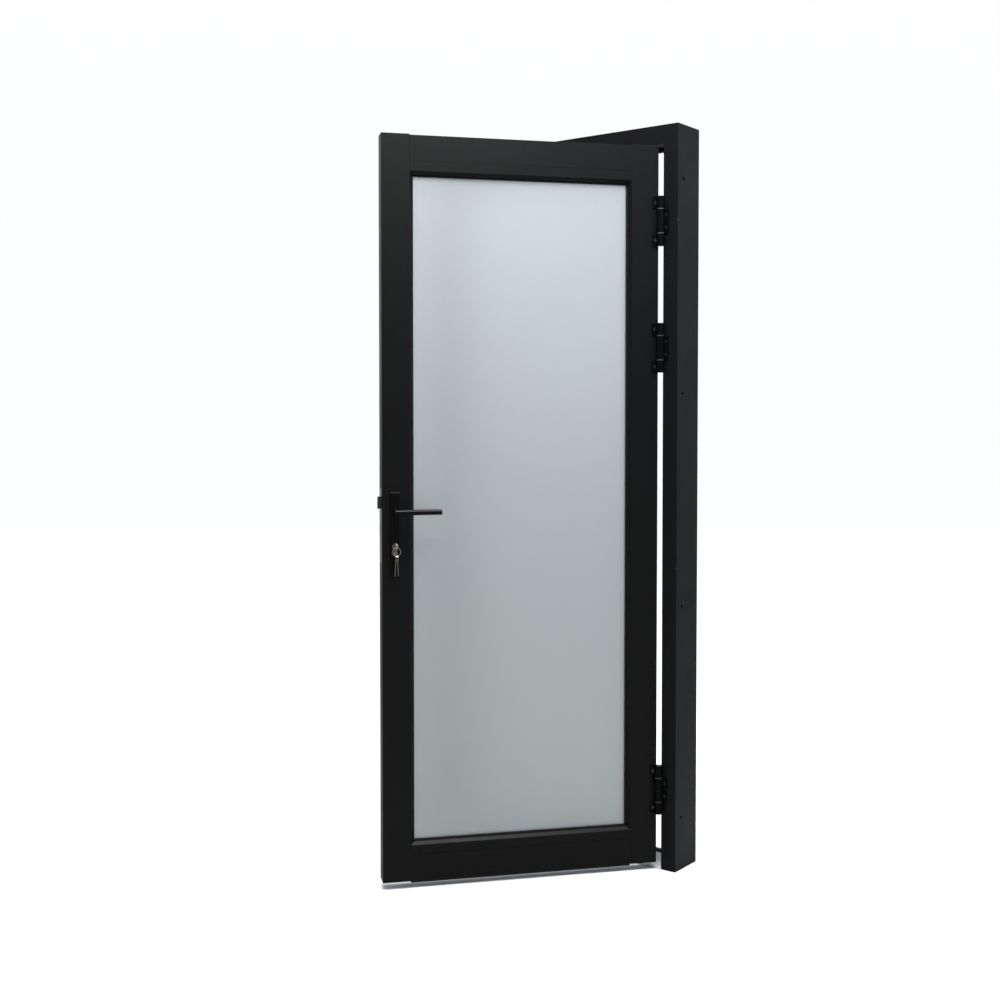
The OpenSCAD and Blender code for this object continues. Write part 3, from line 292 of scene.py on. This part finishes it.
def extruded_rubber(name, colour):
    """EPDM rubber, extruded: black with a dry grey bloom and faint ripples."""
    material, tree, shader, place = new_material(name)
    bloom = add_node(tree, "ShaderNodeTexNoise", {
        "Vector": place, "Scale": per_metre(26), "Detail": 5.0, "Roughness": 0.7})
    ripple = add_node(tree, "ShaderNodeTexNoise", {
        "Vector": place, "Scale": per_metre(4), "Detail": 2.0})
    tone = add_node(tree, "ShaderNodeMix", {
        "Factor": bloom.outputs["Fac"], "A": rgba(colour),
        "B": rgba([c * 2.2 for c in colour])}, data_type="RGBA")
    matt = add_node(tree, "ShaderNodeMapRange", {
        "Value": bloom.outputs["Fac"], "To Min": 0.6, "To Max": 0.8})
    relief = add_node(tree, "ShaderNodeBump", {
        "Height": ripple.outputs["Fac"], "Strength": 0.3, "Distance": 0.15 * MM})
    set_inputs(tree, shader, {
        "Base Color": tone.outputs["Result"], "Roughness": matt.outputs["Result"],
        "Specular IOR Level": 0.3, "Normal": relief.outputs["Normal"]})
    return material


def moulded_nylon(name, colour):
    """Glass-filled nylon, moulded: satin with a spark-eroded grain and slight flow marks."""
    material, tree, shader, place = new_material(name)
    grain = add_node(tree, "ShaderNodeTexNoise", {
        "Vector": place, "Scale": per_metre(0.9), "Detail": 3.0})
    flow = add_node(tree, "ShaderNodeTexNoise", {
        "Vector": place, "Scale": per_metre(18), "Detail": 3.0, "Distortion": 1.0})
    tone = add_node(tree, "ShaderNodeMix", {
        "Factor": flow.outputs["Fac"], "A": rgba(colour),
        "B": rgba([min(c * 1.35, 1.0) for c in colour])}, data_type="RGBA")
    satin = add_node(tree, "ShaderNodeMapRange", {
        "Value": flow.outputs["Fac"], "To Min": 0.42, "To Max": 0.58})
    relief = add_node(tree, "ShaderNodeBump", {
        "Height": grain.outputs["Fac"], "Strength": 0.4, "Distance": 0.06 * MM})
    set_inputs(tree, shader, {
        "Base Color": tone.outputs["Result"], "Roughness": satin.outputs["Result"],
        "Specular IOR Level": 0.2, "Normal": relief.outputs["Normal"]})
    return material


def worked_metal(name, colour, roughness, grain_mm, streak_mm, tarnish):
    """Plated or bare metal, brushed upright: fine streaks that vary the gloss, grain_mm wide
    and streak_mm long, with duller patches where hands and weather have been."""
    material, tree, shader, place = new_material(name)
    along = add_node(tree, "ShaderNodeMapping", {
        "Vector": place,
        "Scale": (per_metre(grain_mm), per_metre(grain_mm), per_metre(streak_mm))})
    streaks = add_node(tree, "ShaderNodeTexNoise", {
        "Vector": along.outputs["Vector"], "Scale": 1.0, "Detail": 4.0, "Roughness": 0.6})
    patches = add_node(tree, "ShaderNodeTexNoise", {
        "Vector": place, "Scale": per_metre(7), "Detail": 5.0, "Roughness": 0.7})
    dulled = add_node(tree, "ShaderNodeMapRange", {
        "Value": patches.outputs["Fac"], "From Min": 0.4, "From Max": 0.75, "To Max": tarnish})
    tone = add_node(tree, "ShaderNodeMix", {
        "Factor": dulled.outputs["Result"], "A": rgba(colour),
        "B": rgba([c * 0.45 for c in colour])}, data_type="RGBA")
    gloss = add_node(tree, "ShaderNodeMapRange", {
        "Value": streaks.outputs["Fac"], "From Min": 0.3, "From Max": 0.7,
        "To Min": roughness - 0.06, "To Max": roughness + 0.1})
    relief = add_node(tree, "ShaderNodeBump", {
        "Height": streaks.outputs["Fac"], "Strength": 0.3, "Distance": 0.02 * MM})
    set_inputs(tree, shader, {
        "Base Color": tone.outputs["Result"], "Metallic": 1.0,
        "Roughness": gloss.outputs["Result"], "Normal": relief.outputs["Normal"]})
    return material


# ---------------------------------------------------------------- mesh helpers


def closed_box(node):
    """Lowest and highest corner of a leaf node with the leaf closed."""
    places = [TO_CLOSED @ v.co for v in frame["nodes"][node].data.vertices]
    low = Vector([min(p[i] for p in places) for i in range(3)])
    high = Vector([max(p[i] for p in places) for i in range(3)])
    return low, high


def finish_piece(form, name, body, material, nodes):
    """Makes a piece of a bmesh: shaded smooth between its sharp edges, riding on its body and
    standing for the CAD nodes that it is made from."""
    for face in form.faces:
        face.smooth = True
    for edge in form.edges:
        edge.smooth = edge.is_manifold and edge.calc_face_angle(math.pi) < SHARP_ANGLE
    mesh = bpy.data.meshes.new(name)
    form.to_mesh(mesh)
    form.free()
    mesh.materials.append(material)
    piece = bpy.data.objects.new(name, mesh)
    bpy.context.scene.collection.objects.link(piece)
    shading = piece.modifiers.new("even_shading", "WEIGHTED_NORMAL")
    shading.keep_sharp = True
    shading.weight = 100
    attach(piece, body)
    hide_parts(*nodes)
    return piece


def body_of(node):
    """The body that a CAD node rides on."""
    return frame["nodes"][node]["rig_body"]


def sharp_edges(form):
    """The edges where two faces meet at an arris."""
    return [e for e in form.edges if e.is_manifold and e.calc_face_angle() > SHARP_ANGLE]


def rounded_copy(node, material, radius, segments=2):
    """Copies a CAD node, merged into clean faces, and rounds its sharp edges as a die, a mould
    or a deburring brush leaves them. Slivers that the rounding leaves are taken out."""
    form = bmesh.new()
    form.from_mesh(frame["nodes"][node].data)
    bmesh.ops.remove_doubles(form, verts=form.verts, dist=MERGE)
    bmesh.ops.dissolve_limit(
        form, angle_limit=FLAT_ANGLE, verts=form.verts, edges=form.edges, delimit={"NORMAL"})
    bmesh.ops.bevel(
        form, geom=sharp_edges(form), offset=radius, offset_type="OFFSET", affect="EDGES",
        segments=segments, profile=0.5, material=-1, clamp_overlap=False)
    bmesh.ops.dissolve_degenerate(form, dist=MERGE, edges=form.edges)
    return finish_piece(form, node + "_finished", body_of(node), material, [node])


def paint(node, material):
    """Gives a CAD node, which keeps its own mesh, its finish."""
    frame["nodes"][node].data.materials.clear()
    frame["nodes"][node].data.materials.append(material)


def rectangle_ring(low, high, width):
    """A flat ring in the XZ plane at low's Y, from low to high, its sides that wide."""
    form = bmesh.new()
    bmesh.ops.create_grid(form, x_segments=1, y_segments=1, size=0.5)
    span = high - low
    centre = (low + high) / 2
    stand = Matrix.Rotation(math.pi / 2, 4, "X")
    stretch = Matrix.Diagonal((span.x, 1, span.z, 1))
    bmesh.ops.transform(
        form, verts=form.verts,
        matrix=Matrix.Translation((centre.x, low.y, centre.z)) @ stretch @ stand)
    middle = form.faces[:]
    bmesh.ops.inset_region(
        form, faces=middle, thickness=width, use_boundary=True, use_even_offset=True)
    bmesh.ops.delete(form, geom=middle, context="FACES")
    return form


def extrude_back(form, depth):
    """Thickens flat faces by that depth towards +Y, as a closed solid."""
    grown = bmesh.ops.extrude_face_region(form, geom=form.faces[:])
    moved = [g for g in grown["geom"] if isinstance(g, bmesh.types.BMVert)]
    bmesh.ops.translate(form, verts=moved, vec=(0, depth, 0))
    bmesh.ops.recalc_face_normals(form, faces=form.faces)


# ---------------------------------------------------------------- properties


class DoorSizes(bpy.types.PropertyGroup):
    """Sizes of what is added to the CAD model."""

    extrusion_edge: FloatProperty(
        name="Extrusion edge", description="Radius on the edges of frame and leaf",
        default=0.6 * MM, min=0.1 * MM, max=1.2 * MM, unit="LENGTH")
    fitting_edge: FloatProperty(
        name="Fitting edge", description="Radius on the edges of hinges, plates and levers",
        default=0.5 * MM, min=0.1 * MM, max=0.8 * MM, unit="LENGTH")
    small_edge: FloatProperty(
        name="Small edge", description="Radius on the edges of keys, screws and bolts",
        default=0.2 * MM, min=0.05 * MM, max=0.3 * MM, unit="LENGTH")
    gasket_width: FloatProperty(
        name="Gasket width", description="Width of the glazing gasket, from groove to lip",
        default=14 * MM, min=8 * MM, max=18 * MM, unit="LENGTH")
    lip_radius: FloatProperty(
        name="Gasket lip", description="Radius of the glazing gasket's visible lip",
        default=1.6 * MM, min=0.5 * MM, max=2 * MM, unit="LENGTH")
    bulb_radius: FloatProperty(
        name="Seal bulb", description="Radius of the bulb on the seals that the leaf closes on",
        default=1.7 * MM, min=0.5 * MM, max=1.75 * MM, unit="LENGTH")
    seal_width: FloatProperty(
        name="Seal width", description="Width of the seal around the frame's stop",
        default=8 * MM, min=5 * MM, max=9 * MM, unit="LENGTH")
    ring_wire: FloatProperty(
        name="Ring wire", description="Thickness of the split ring's wire",
        default=0.96 * MM, min=0.6 * MM, max=1 * MM, unit="LENGTH")


class DoorColours(bpy.types.PropertyGroup):
    """Colours of the finishes."""

    frame_coat: FloatVectorProperty(
        name="Frame coat", description="Powder coat of the frame", subtype="COLOR",
        default=srgb("#0B0B0D"))
    leaf_coat: FloatVectorProperty(
        name="Leaf coat", description="Powder coat of the leaf", subtype="COLOR",
        default=srgb("#0A0A0A"))
    handle_coat: FloatVectorProperty(
        name="Handle coat", description="Coat of levers and backplates", subtype="COLOR",
        default=srgb("#050505"))
    hinge_coat: FloatVectorProperty(
        name="Hinge coat", description="Coat of the hinges", subtype="COLOR",
        default=srgb("#050606"))
    rubbed_black: FloatVectorProperty(
        name="Rubbed black", description="Blackened screws, rubbed bright by the driver",
        subtype="COLOR", default=srgb("#5C5C5E"))
    glass: FloatVectorProperty(
        name="Glass", description="Tint of the frosted glass", subtype="COLOR",
        default=srgb("#CDD3D3"))
    aluminium: FloatVectorProperty(
        name="Aluminium", description="Anodised aluminium of the threshold", subtype="COLOR",
        default=srgb("#E2E6EA"))
    rubber: FloatVectorProperty(
        name="Rubber", description="Rubber of the seals and gaskets", subtype="COLOR",
        default=srgb("#0B0B0B"))
    black_nylon: FloatVectorProperty(
        name="Black nylon", description="Caps on the ends of the stiles", subtype="COLOR",
        default=srgb("#0D0D0E"))
    grey_nylon: FloatVectorProperty(
        name="Grey nylon", description="Bearing washers of the hinges", subtype="COLOR",
        default=srgb("#545452"))
    nickel: FloatVectorProperty(
        name="Nickel", description="Nickel plate on keys and cylinder", subtype="COLOR",
        default=srgb("#8D8675"))
    brass: FloatVectorProperty(
        name="Brass", description="Turned brass of the cylinder's plug", subtype="COLOR",
        default=srgb("#9A8D70"))
    zinc: FloatVectorProperty(
        name="Zinc", description="Zinc plate on screws and lock parts", subtype="COLOR",
        default=srgb("#B4B9BF"))
    stainless: FloatVectorProperty(
        name="Stainless steel", description="Brushed plates and hinge pins", subtype="COLOR",
        default=srgb("#8F8D89"))
    ring_steel: FloatVectorProperty(
        name="Ring steel", description="Bright steel of the split ring", subtype="COLOR",
        default=srgb("#D6D4CE"))
    bronze: FloatVectorProperty(
        name="Dark bronze", description="Plating of the latch", subtype="COLOR",
        default=srgb("#5A544E"))
    casting: FloatVectorProperty(
        name="Cast aluminium", description="Corner blocks of frame and leaf", subtype="COLOR",
        default=srgb("#9A9DA0"))


class DoorStage(bpy.types.PropertyGroup):
    """Camera, floor and light."""

    lens: FloatProperty(
        name="Lens", description="Focal length of the camera, in millimetres", default=47.07,
        min=20, max=120)
    floor: FloatVectorProperty(
        name="Floor", description="Colour of the floor", subtype="COLOR",
        default=srgb("#FAFAF9"))
    bounce: FloatVectorProperty(
        name="Floor bounce", description="Colour that the floor throws back at the door",
        subtype="COLOR", default=srgb("#A8A8A6"))
    backdrop_low: FloatVectorProperty(
        name="Backdrop, low", description="Colour of the backdrop where it meets the floor",
        subtype="COLOR", default=srgb("#FDFFFF"))
    backdrop_high: FloatVectorProperty(
        name="Backdrop, high", description="Colour of the backdrop above the door",
        subtype="COLOR", default=srgb("#FEFEFE"))
    hall: FloatVectorProperty(
        name="Surround", description="Tint of the light that the surround gives the door",
        subtype="COLOR", default=srgb("#F4F9FF"))
    bright_side: FloatProperty(
        name="Bright side", description="Brightness of the surround behind and above the door",
        default=1.0, min=0, max=4)
    dim_side: FloatProperty(
        name="Dim side", description="Brightness of the surround in front of the door",
        default=0.2, min=0, max=4)
    key_power: FloatProperty(
        name="Key light", description="Power of the light over the door's front", default=50.0,
        min=0, max=2000, subtype="POWER")
    top_power: FloatProperty(
        name="Top light", description="Power of the large light overhead", default=170.0, min=0,
        max=2000, subtype="POWER")
    down_strength: FloatProperty(
        name="Ceiling light", description="Strength of the even light from straight above",
        default=1.2, min=0, max=20)
    side_power: FloatProperty(
        name="Side light", description="Power of the cool light beside the hinges", default=30.0,
        min=0, max=2000, subtype="POWER")


# ---------------------------------------------------------------- operators


class DOOR_OT_frame(bpy.types.Operator):
    """Coats the frame's extrusions, with the two chips on the near arris of the hinge jamb"""

    bl_idname = "door.frame"
    bl_label = "Frame extrusions"

    def execute(self, context):
        sizes, colours = context.scene.door_sizes, context.scene.door_colours
        low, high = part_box("frame_jamb_hinge")
        chips = [(Vector((high.x, low.y, low.z + height)), size) for height, size in CHIPS]
        coat = powder_coat(
            "Frame powder coat", colours.frame_coat, roughness=0.46, specular=0.13, dust=0.02,
            chips=chips)
        for node in FRAME_EXTRUSIONS:
            rounded_copy(node, coat, sizes.extrusion_edge)
        return {"FINISHED"}


class DOOR_OT_leaf(bpy.types.Operator):
    """Coats the leaf's stiles, rails and beads, and caps the stiles"""

    bl_idname = "door.leaf"
    bl_label = "Leaf extrusions"

    def execute(self, context):
        sizes, colours = context.scene.door_sizes, context.scene.door_colours
        coat = powder_coat(
            "Leaf powder coat", colours.leaf_coat, roughness=0.44, specular=0.13, dust=0.02)
        for node in LEAF_EXTRUSIONS:
            rounded_copy(node, coat, sizes.extrusion_edge)
        nylon = moulded_nylon("Black nylon", colours.black_nylon)
        rounded_copy("stile_caps", nylon, sizes.fitting_edge)
        return {"FINISHED"}


class DOOR_OT_glass(bpy.types.Operator):
    """Gives the pane its etched finish and makes the gaskets that grip it"""

    bl_idname = "door.glass"
    bl_label = "Glass and gaskets"

    def execute(self, context):
        sizes, colours = context.scene.door_sizes, context.scene.door_colours
        rubber = extruded_rubber("Gasket rubber", colours.rubber)
        paint("glass_pane", frosted_glass(colours.glass))
        paint("setting_blocks", rubber)
        for node, at_front in (("gasket_front", True), ("gasket_rear", False)):
            low, high = closed_box(node)
            form = rectangle_ring(low, high, sizes.gasket_width)
            extrude_back(form, high.y - low.y)
            # The lip runs round the opening, on the face that shows
            lip_y = low.y if at_front else high.y
            inner = [
                e for e in form.edges
                if all(abs(v.co.y - lip_y) < MERGE and low.x + MM < v.co.x < high.x - MM
                       for v in e.verts)]
            bmesh.ops.bevel(
                form, geom=inner, offset=sizes.lip_radius, offset_type="OFFSET",
                affect="EDGES", segments=4, profile=0.5, material=-1, clamp_overlap=True)
            bmesh.ops.transform(form, verts=form.verts, matrix=TO_OPEN)
            finish_piece(form, node + "_lip", body_of(node), rubber, [node])
        return {"FINISHED"}


class DOOR_OT_seals(bpy.types.Operator):
    """Makes the bulb seal around the frame's stop, and finishes the seals at the threshold and
    under the leaf"""

    bl_idname = "door.seals"
    bl_label = "Seals"

    def execute(self, context):
        sizes, colours = context.scene.door_sizes, context.scene.door_colours
        rubber = extruded_rubber("Seal rubber", colours.rubber)
        low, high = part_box("frame_seal")
        form = rectangle_ring(low, high, sizes.seal_width)
        sill = [f for f in form.faces if f.calc_center_median().z < low.z + sizes.seal_width]
        bmesh.ops.delete(form, geom=sill, context="FACES")
        # The uprights are cut square where they meet the threshold
        feet = [v for v in form.verts if abs(v.co.z - low.z - sizes.seal_width) < MERGE]
        bmesh.ops.translate(form, verts=feet, vec=(0, 0, -sizes.seal_width))
        extrude_back(form, high.y - low.y)
        front = [
            e for e in sharp_edges(form)
            if all(abs(v.co.y - low.y) < MERGE for v in e.verts)]
        bmesh.ops.bevel(
            form, geom=front, offset=sizes.bulb_radius, offset_type="OFFSET", affect="EDGES",
            segments=5, profile=0.5, material=-1, clamp_overlap=True)
        finish_piece(
            form, "frame_seal_bulb", body_of("frame_seal"), rubber,
            ["frame_seal"])
        rounded_copy("threshold_seal", rubber, sizes.bulb_radius, segments=4)
        rounded_copy("bottom_seal", rubber, sizes.small_edge)
        return {"FINISHED"}


class DOOR_OT_threshold(bpy.types.Operator):
    """Finishes the silver threshold"""

    bl_idname = "door.threshold"
    bl_label = "Threshold"

    def execute(self, context):
        sizes, colours = context.scene.door_sizes, context.scene.door_colours
        rounded_copy("threshold", extruded_aluminium(colours.aluminium), sizes.fitting_edge)
        return {"FINISHED"}


class DOOR_OT_hinges(bpy.types.Operator):
    """Finishes the hinges with their pins, washers and screws"""

    bl_idname = "door.hinges"
    bl_label = "Hinges"

    def execute(self, context):
        sizes, colours = context.scene.door_sizes, context.scene.door_colours
        coat = powder_coat(
            "Hinge coat", colours.hinge_coat, roughness=0.40, specular=0.06, texture=0.2)
        rubbed = worked_metal(
            "Blackened screws", colours.rubbed_black, roughness=0.3, grain_mm=0.4, streak_mm=8,
            tarnish=0.5)
        steel = worked_metal(
            "Stainless pins", colours.stainless, roughness=0.3, grain_mm=0.5, streak_mm=20,
            tarnish=0.3)
        for place in HINGE_SETS:
            rounded_copy(f"hinge_frame_{place}", coat, sizes.fitting_edge)
            for half in ("upper", "lower"):
                rounded_copy(f"hinge_leaf_{place}_{half}", coat, sizes.fitting_edge)
            paint(f"hinge_pin_{place}", steel)
        rounded_copy(
            "hinge_washers", moulded_nylon("Grey nylon", colours.grey_nylon),
            sizes.small_edge)
        for node in ("hinge_frame_screws", "hinge_leaf_screws"):
            rounded_copy(node, rubbed, sizes.small_edge)
        return {"FINISHED"}


class DOOR_OT_handles(bpy.types.Operator):
    """Finishes the levers, their backplates and the bolts between them"""

    bl_idname = "door.handles"
    bl_label = "Handles"

    def execute(self, context):
        sizes, colours = context.scene.door_sizes, context.scene.door_colours
        coat = powder_coat(
            "Handle coat", colours.handle_coat, roughness=0.3, specular=0.12, texture=0.12)
        zinc = worked_metal(
            "Zinc-plated bolts", colours.zinc, roughness=0.38, grain_mm=0.5, streak_mm=10,
            tarnish=0.3)
        for node in ("lever_front", "lever_rear", "backplate_front", "backplate_rear"):
            rounded_copy(node, coat, sizes.fitting_edge, segments=3)
        rounded_copy("backplate_bolts", zinc, sizes.small_edge)
        for node in ("spindle", "lock_follower"):
            paint(node, zinc)
        return {"FINISHED"}


class DOOR_OT_lock(bpy.types.Operator):
    """Finishes the lock, its plates, bolts and cylinder, and what holds the corners"""

    bl_idname = "door.lock"
    bl_label = "Lock and hidden fixings"

    def execute(self, context):
        sizes, colours = context.scene.door_sizes, context.scene.door_colours
        zinc = worked_metal(
            "Zinc plate", colours.zinc, roughness=0.4, grain_mm=0.5, streak_mm=14, tarnish=0.35)
        plate = worked_metal(
            "Brushed stainless", colours.stainless, roughness=0.36, grain_mm=0.35,
            streak_mm=40, tarnish=0.35)
        nickel = worked_metal(
            "Nickel-plated brass", colours.nickel, roughness=0.28, grain_mm=0.5, streak_mm=6,
            tarnish=0.3)
        brass = worked_metal(
            "Turned brass", colours.brass, roughness=0.3, grain_mm=0.4, streak_mm=3,
            tarnish=0.35)
        casting = worked_metal(
            "Cast aluminium", colours.casting, roughness=0.5, grain_mm=1.5, streak_mm=2,
            tarnish=0.4)
        latch = worked_metal(
            "Dark bronze-plated latch", colours.bronze, roughness=0.42, grain_mm=0.4,
            streak_mm=12, tarnish=0.5)
        for node in ("lock_faceplate", "strike_plate", "dead_bolt"):
            rounded_copy(node, plate, sizes.small_edge)
        rounded_copy("latch_bolt", latch, sizes.fitting_edge)
        rounded_copy("cylinder_body", nickel, sizes.small_edge)
        rounded_copy("cylinder_plug", brass, sizes.small_edge)
        for node in ("faceplate_screws", "strike_screws", "cylinder_screw", "frame_screws"):
            rounded_copy(node, zinc, sizes.small_edge)
        for node in ("lock_case", "cylinder_cam", "leaf_corner_screws"):
            paint(node, zinc)
        for node in ("frame_corner_blocks", "leaf_corner_blocks"):
            paint(node, casting)
        return {"FINISHED"}


class DOOR_OT_keys(bpy.types.Operator):
    """Finishes the keys and winds the split ring that they hang on"""

    bl_idname = "door.keys"
    bl_label = "Keys"

    def execute(self, context):
        sizes, colours = context.scene.door_sizes, context.scene.door_colours
        nickel = worked_metal(
            "Nickel-plated keys", colours.nickel, roughness=0.26, grain_mm=0.5, streak_mm=5,
            tarnish=0.3)
        steel = worked_metal(
            "Ring steel", colours.ring_steel, roughness=0.2, grain_mm=0.5, streak_mm=4,
            tarnish=0.1)
        # Keys are tumbled, and wear rounder still in a pocket
        key_edge = 1.5 * sizes.small_edge
        for node in ("key_in_lock", "spare_key_left", "spare_key_right"):
            rounded_copy(node, nickel, key_edge)
        low, high = closed_box("key_ring")
        centre = (low + high) / 2
        wire = sizes.ring_wire / 2
        thick = high.y - low.y
        steps = STEPS_PER_TURN * RING_TURNS
        form = bmesh.new()
        section = bmesh.ops.create_circle(
            form, cap_ends=True, radius=wire, segments=WIRE_SIDES)
        start = Vector((high.x - thick / 2, low.y + wire, centre.z))
        bmesh.ops.transform(
            form, verts=section["verts"], matrix=Matrix.Translation(start))
        climb = (thick - 2 * wire) / steps
        bmesh.ops.spin(
            form, geom=form.faces[:] + form.edges[:] + form.verts[:], cent=centre,
            axis=(0, 1, 0), dvec=(0, climb, 0), angle=math.tau * RING_TURNS, steps=steps,
            use_merge=False)
        bmesh.ops.recalc_face_normals(form, faces=form.faces)
        bmesh.ops.transform(form, verts=form.verts, matrix=TO_OPEN)
        finish_piece(
            form, "key_ring_wound", body_of("key_ring"), steel,
            ["key_ring"])
        return {"FINISHED"}


class DOOR_OT_stage(bpy.types.Operator):
    """Lays the pale floor and sets the soft light and the camera"""

    bl_idname = "door.stage"
    bl_label = "Floor, light and camera"

    def execute(self, context):
        scene, stage = context.scene, context.scene.door_stage
        low, high = CAD_BOX
        centre = (low + high) / 2

        floor_finish, tree, shader, place = new_material("Pale floor")
        # It looks pale, yet throws back as little light as a hall's grey floor
        seen = add_node(tree, "ShaderNodeLightPath").outputs["Is Camera Ray"]
        mottle = add_node(tree, "ShaderNodeTexNoise", {
            "Vector": place, "Scale": per_metre(900), "Detail": 4.0})
        tone = add_node(tree, "ShaderNodeMix", {
            "Factor": mottle.outputs["Fac"], "A": rgba(stage.floor),
            "B": rgba([c * 0.97 for c in stage.floor])}, data_type="RGBA")
        bounce = add_node(tree, "ShaderNodeMix", {
            "Factor": seen, "A": rgba(stage.bounce), "B": tone.outputs["Result"]},
            data_type="RGBA")
        set_inputs(tree, shader, {
            "Base Color": bounce.outputs["Result"], "Roughness": 0.8, "Specular IOR Level": 0.1})
        form = bmesh.new()
        bmesh.ops.create_circle(
            form, cap_ends=True, radius=FLOOR_RADIUS, segments=FLOOR_SIDES)
        mesh = bpy.data.meshes.new("floor")
        form.to_mesh(mesh)
        form.free()
        mesh.materials.append(floor_finish)
        floor = bpy.data.objects.new("floor", mesh)
        scene.collection.objects.link(floor)

        surround = bpy.data.worlds.new("White surround")
        surround.use_nodes = True
        tree = surround.node_tree
        tree.nodes.clear()
        # The door is lit from behind and above, and stands before a plain pale backdrop
        way = add_node(tree, "ShaderNodeTexCoord").outputs["Generated"]
        towards = add_node(tree, "ShaderNodeVectorMath", {
            0: way, 1: Vector(BRIGHT_SIDE).normalized()}, operation="DOT_PRODUCT")
        brightness = add_node(tree, "ShaderNodeMapRange", {
            "Value": towards.outputs["Value"], "From Min": -0.6, "From Max": 0.9,
            "To Min": stage.dim_side, "To Max": stage.bright_side})
        hall = add_node(tree, "ShaderNodeBackground", {
            "Color": rgba(stage.hall), "Strength": brightness.outputs["Result"]})
        rise = add_node(tree, "ShaderNodeMapRange", {
            "Value": add_node(tree, "ShaderNodeSeparateXYZ", {"Vector": way}).outputs["Z"],
            "From Min": 0.0, "From Max": 0.35})
        pale = add_node(tree, "ShaderNodeMix", {
            "Factor": rise.outputs["Result"], "A": rgba(stage.backdrop_low),
            "B": rgba(stage.backdrop_high)}, data_type="RGBA")
        backdrop = add_node(tree, "ShaderNodeBackground", {"Color": pale.outputs["Result"]})
        seen = add_node(tree, "ShaderNodeLightPath").outputs["Is Camera Ray"]
        both = add_node(tree, "ShaderNodeMixShader", {
            0: seen, 1: hall.outputs["Background"], 2: backdrop.outputs["Background"]})
        add_node(tree, "ShaderNodeOutputWorld", {"Surface": both.outputs["Shader"]})
        scene.world = surround

        sun = bpy.data.lights.new("straight_down", "SUN")
        sun.energy = stage.down_strength
        sun.angle = math.radians(40)
        scene.collection.objects.link(bpy.data.objects.new("straight_down", sun))

        lights = (
            ("over_the_front", (1.1, -1.15, 3.0), 0.9, stage.key_power, srgb("#FBFDFF")),
            ("overhead", (0.3, -0.8, 5.2), 2.6, stage.top_power, srgb("#FFFCF6")),
            ("beside_hinges", (3.6, 0.4, 2.8), 1.8, stage.side_power, srgb("#C8D4FF")),
        )
        for name, position, size, power, colour in lights:
            data = bpy.data.lights.new(name, "AREA")
            data.shape = "SQUARE"
            data.size = size
            data.energy = power
            data.color = colour
            light = bpy.data.objects.new(name, data)
            light.location = position
            light.rotation_euler = (centre - Vector(position)).to_track_quat("-Z", "Y").to_euler()
            scene.collection.objects.link(light)

        data = bpy.data.cameras.new("camera")
        data.lens = stage.lens
        data.shift_y = CAMERA_SHIFT
        camera = bpy.data.objects.new("camera", data)
        camera.location = CAMERA_PLACE
        camera.rotation_euler = (CAMERA_TILT, 0, CAMERA_TURN)
        scene.collection.objects.link(camera)
        scene.camera = camera
        scene.view_settings.view_transform = "Standard"
        return {"FINISHED"}


class DOOR_PT_pieces(bpy.types.Panel):
    """Lists the steps that finish the door"""

    bl_label = "Framed glass door"
    bl_idname = "DOOR_PT_pieces"
    bl_space_type = "VIEW_3D"
    bl_region_type = "UI"
    bl_category = "Door"

    def draw(self, context):
        for step in STEPS:
            self.layout.operator(step.bl_idname)
        for group in (context.scene.door_sizes, context.scene.door_colours,
                      context.scene.door_stage):
            for name in group.__annotations__:
                self.layout.prop(group, name)


STEPS = (
    DOOR_OT_frame, DOOR_OT_leaf, DOOR_OT_glass, DOOR_OT_seals, DOOR_OT_threshold,
    DOOR_OT_hinges, DOOR_OT_handles, DOOR_OT_lock, DOOR_OT_keys, DOOR_OT_stage,
)
CLASSES = (DoorSizes, DoorColours, DoorStage, *STEPS, DOOR_PT_pieces)


def register():
    for item in CLASSES:
        bpy.utils.register_class(item)
    bpy.types.Scene.door_sizes = PointerProperty(type=DoorSizes)
    bpy.types.Scene.door_colours = PointerProperty(type=DoorColours)
    bpy.types.Scene.door_stage = PointerProperty(type=DoorStage)


def unregister():
    del bpy.types.Scene.door_stage
    del bpy.types.Scene.door_colours
    del bpy.types.Scene.door_sizes
    for item in reversed(CLASSES):
        bpy.utils.unregister_class(item)


def main():
    register()
    for step in STEPS:
        group, name = step.bl_idname.split(".")
        getattr(getattr(bpy.ops, group), name)()


if __name__ == "__main__":
    main()
